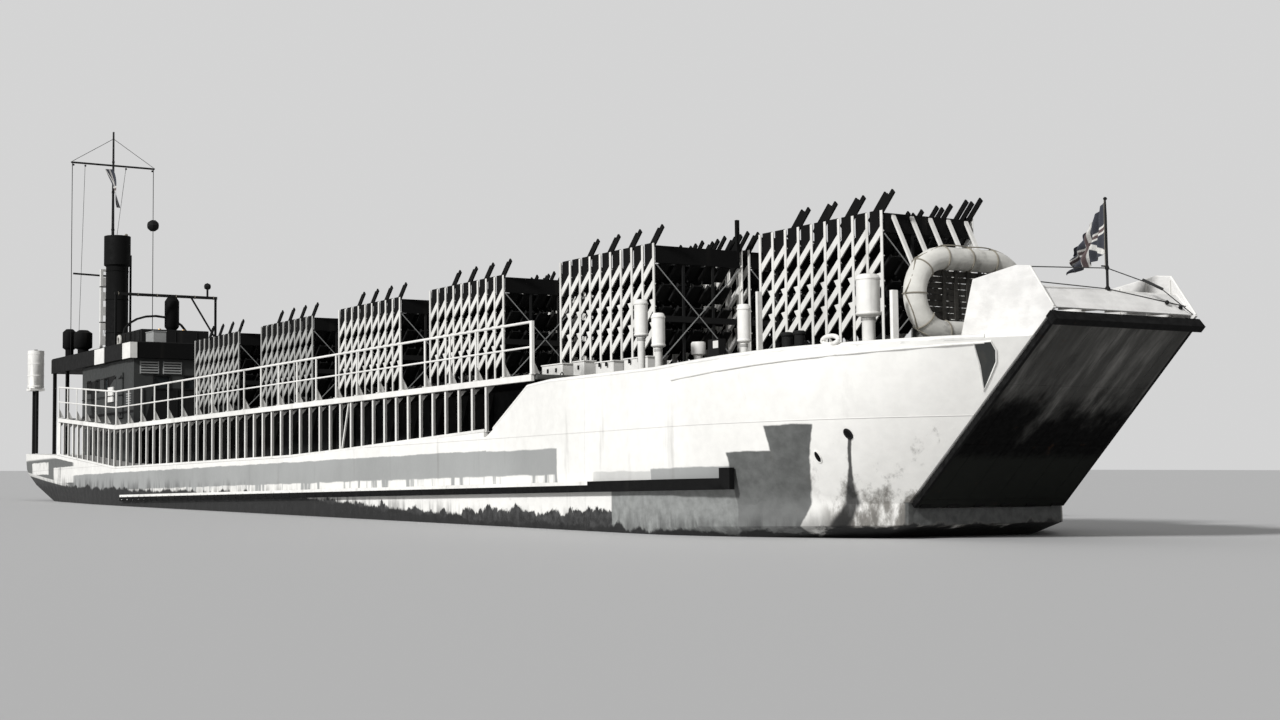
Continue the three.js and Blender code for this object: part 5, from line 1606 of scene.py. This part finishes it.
def dressed_alone():
    """CAD pieces that need only eased edges and a few fittings of their own."""
    def post(sketch):
        sketch.use(BLACK_PAINT)
        for z in (7.9, 9.4, 10.9):
            sketch.block((2.232, 2.368), (-1.63, -1.23), (z - 0.02, z + 0.02))

    def cowl(x, y, radius):
        def rim(sketch):
            foot = circle((x, y, 7.39), radius * 0.55 + 0.06, 12)
            studs(sketch, BLACK_PAINT, UP, foot, pitch=0.12, radius=0.014, height=0.02)
        return rim

    def drum(sketch):
        for z in (8.2, 9.1, 9.8):
            sketch.use(DARK_PAINT).rod((5.4, 0.41, z), (5.4, 0.41, z + 0.02), 0.19, 18)

    dressed("perforated_post", WHITE_PAINT, bevel=0.006, extra=post)
    dressed("cowl_aft", BLACK_PAINT, bevel=0.008, extra=cowl(1.5, -2.65, 0.29))
    dressed("cowl_fore", BLACK_PAINT, bevel=0.008, extra=cowl(2.9, -2.5, 0.38))
    dressed("binnacle_drum", BLACK_PAINT, bevel=0.008, extra=drum)


def quarter_drums():
    """Drums on the quarters, banded, with the valve on top, on dark posts."""
    for name, side in SIDES:
        def details(sketch, side=side):
            x, y = QUARTER_DRUM_X, side * QUARTER_DRUM_Y
            sketch.use(WHITE_PAINT)
            for z in (6.75, 7.2, 7.7, 8.12):
                sketch.rod((x, y, z - 0.03), (x, y, z + 0.03), 0.341, 28)
            sketch.use(DARK_PAINT).rod((x, y, 8.24), (x, y, 8.30), 0.08, 14)
            for face in sketch.mesh.faces:
                if face.calc_center_median().z < 6.5:
                    face.material_index = sketch.paint

        dressed("quarter_drum_" + name, WHITE_PAINT, bevel=0.012, extra=details)


# Stern gear and running gear


def winch():
    """Stern anchor winch: frame with brake lever and gear case, drum wound with wire."""
    def frame_details(sketch):
        sketch.use(DARK_PAINT)
        sketch.block((2.05, 2.55), (0.84, 0.93), (4.45, 4.95))
        sketch.bar((1.95, -0.86, 4.4), (1.75, -0.86, 5.35), 0.03, 0.05)
        sketch.ball((1.75, -0.86, 5.38), 0.05, 10)

    def wire(sketch):
        x, z, radius, turns, sides = 2.3, 4.7, 0.345, 14, 16
        path = []
        for i in range(turns * sides + 1):
            angle = 2 * math.pi * i / sides
            y = -0.62 + 1.24 * i / (turns * sides)
            path.append((x + math.cos(angle) * radius, y, z + math.sin(angle) * radius))
        pipes(sketch, WIRE, 0.024, path, sides=6)

    dressed("winch_frame", GREY_PAINT, bevel=0.01, extra=frame_details)
    dressed("winch_drum", STEEL, "winch_drum", bevel=0.008, extra=wire)


def stern_anchor():
    """Stern anchor with its ring."""
    def details(sketch):
        sketch.use(BLACK_PAINT)
        sketch.tube(circle((-0.33, 0, 4.32), 0.1, 14, rise=UP), 0.025, 8, closed=True)

    dressed("stern_anchor", BLACK_PAINT, bevel=0.012, extra=details)


def propeller(name, side):
    """Three blades of a true screw on a hub, its cone aft."""
    x, y, z, radius, hub = 3.9, side * SHAFT_Y, SHAFT_Z, 0.52, 0.11
    low, high = full_box("propeller_" + name)
    length = high.x - low.x
    sketch = Sketch(BRONZE)
    boss = [(0, 0), (0.05, 0.008), (0.085, 0.05), (hub - 0.005, 0.11), (hub, 0.16), (hub, 0.40),
            (0.062, 0.42), (0.06, 0.46), (0.06, length), (0, length)]
    sketch.turned(boss, (low.x, y, z), 28, axis=FORWARD)
    pitch, steps, span = 0.62, 14, 12
    root, tip = hub * 0.8, radius - 0.006
    for blade in range(3):
        start = 2 * math.pi * blade / 3 + math.pi / 2
        rings = []
        for i in range(steps + 1):
            r = root + (tip - root) * i / steps
            share = (r - hub) / (radius - hub)
            swell = 1 - (max(share, 0) * 1.5 - 0.55) ** 2
            chord = max(0.34 * math.sqrt(max(swell, 0.04)) * (1 - share ** 8), 0.02)
            twist = math.atan2(pitch / (2 * math.pi), r)
            ring = []
            for face in (-1, 1):
                row = []
                for j in range(span + 1):
                    u = j / span - 0.5
                    thick = 0.022 * (1 - share * 0.7) * math.sqrt(max(1 - (2 * u) ** 2, 0.0)) + 0.002
                    angle = start + u * chord * math.cos(twist) * side / r
                    ahead = u * chord * math.sin(twist) + face * thick
                    row.append((x + ahead, y + math.cos(angle) * r, z + math.sin(angle) * r))
                ring += row[::-face]
            rings.append(ring)
        sketch.rings(rings)
    finished(sketch, "screw_" + name, "propeller_" + name, ("propeller_" + name,), smooth=50)


def running_gear():
    """Screws, shaft brackets and rudders."""
    for name, side in SIDES:
        propeller(name, side)

        def arms(sketch, side=side):
            ring = circle((4.98, side * SHAFT_Y, SHAFT_Z), 0.13, 9, TO_PORT, UP)
            studs(sketch, STEEL, FORWARD, ring, pitch=0.1, radius=0.012, height=0.02)

        def blade(sketch, side=side):
            sketch.use(STEEL)
            for z in (0.5, 0.95, 1.4):
                sketch.bar((1.66, side * SHAFT_Y, z), (2.6, side * SHAFT_Y, z), 0.13, 0.05)

        dressed("shaft_bracket_" + name, BLACK_PAINT, bevel=0.008, extra=arms)
        dressed("rudder_" + name, BLACK_PAINT, "rudder_" + name, bevel=0.02, extra=blade)


# Camera and light


def camera():
    """Camera of the photo: low, off the starboard bow, with a long lens."""
    true_up = Vector((TRIM, 0, 1)).normalized()
    level = Vector(HEADING)
    level = (level - true_up * level.dot(true_up)).normalized()
    pitch = math.atan(TILT / FOCAL_LENGTH)
    ahead = level * math.cos(pitch) + true_up * math.sin(pitch)
    right = level.cross(true_up).normalized()
    data = bpy.data.cameras.new("camera")
    data.lens = FOCAL_LENGTH / PHOTO_WIDTH * data.sensor_width
    data.clip_end = 500
    made = link("camera", data)
    axes = Matrix((right, right.cross(ahead), -ahead)).transposed().to_4x4()
    made.matrix_world = Matrix.Translation(TO_MODEL @ Vector(EYE)) @ axes
    bpy.context.scene.camera = made


def floor():
    """Plain pale floor at the height of the waterline."""
    mesh = bpy.data.meshes.new("floor")
    reach = 260
    corners = [(x, y, WATERLINE * SCALE - TRIM * (x - STERN_X)) for x, y in
               ((-reach, -reach), (reach, -reach), (reach, reach), (-reach, reach))]
    mesh.from_pydata(corners, [], [(0, 1, 2, 3)])
    plain = bpy.data.materials.new("floor")
    plain.use_nodes = True
    shader = plain.node_tree.nodes["Principled BSDF"]
    shader.inputs["Base Color"].default_value = (0.45, 0.45, 0.45, 1)
    shader.inputs["Roughness"].default_value = 0.8
    mesh.materials.append(plain)
    link("floor", mesh)


def studio():
    """Soft even light, a broad sun from the starboard side and a brighter plain backdrop."""
    world = bpy.data.worlds.new("studio")
    world.use_nodes = True
    tree = world.node_tree
    fill, backdrop = tree.nodes["Background"], tree.nodes.new("ShaderNodeBackground")
    fill.inputs["Color"].default_value = (0.80, 0.80, 0.80, 1)
    fill.inputs["Strength"].default_value = 0.5
    backdrop.inputs["Color"].default_value = (0.66, 0.66, 0.66, 1)
    seen = tree.nodes.new("ShaderNodeMixShader")
    tree.links.new(tree.nodes.new("ShaderNodeLightPath").outputs["Is Camera Ray"], seen.inputs[0])
    tree.links.new(fill.outputs[0], seen.inputs[1])
    tree.links.new(backdrop.outputs[0], seen.inputs[2])
    tree.links.new(seen.outputs[0], tree.nodes["World Output"].inputs[0])
    bpy.context.scene.world = world
    key = bpy.data.lights.new("key", "SUN")
    key.energy = 3.6
    key.angle = math.radians(8)
    lamp = link("key", key)
    lamp.rotation_mode = "QUATERNION"
    lamp.rotation_quaternion = Vector((0.25, -0.82, 0.50)).normalized().to_track_quat("Z", "Y")
    bpy.context.scene.view_settings.view_transform = "Standard"


camera()
floor()
studio()
hull_shell()
hold_coaming()
sheer_rail()
hull_fittings()
strakes()
bow_ramp()
bow_screen()
flag_staff()
ensign()
planked_deck()
racks()
galleries()
guard_rails()
life_float()
ventilators()
foredeck_fittings()
deckhouse()
house_doors()
bridge_deck()
bridge()
awning_frame()
funnel()
mast()
pennant()
dressed_alone()
quarter_drums()
winch()
stern_anchor()
running_gear()
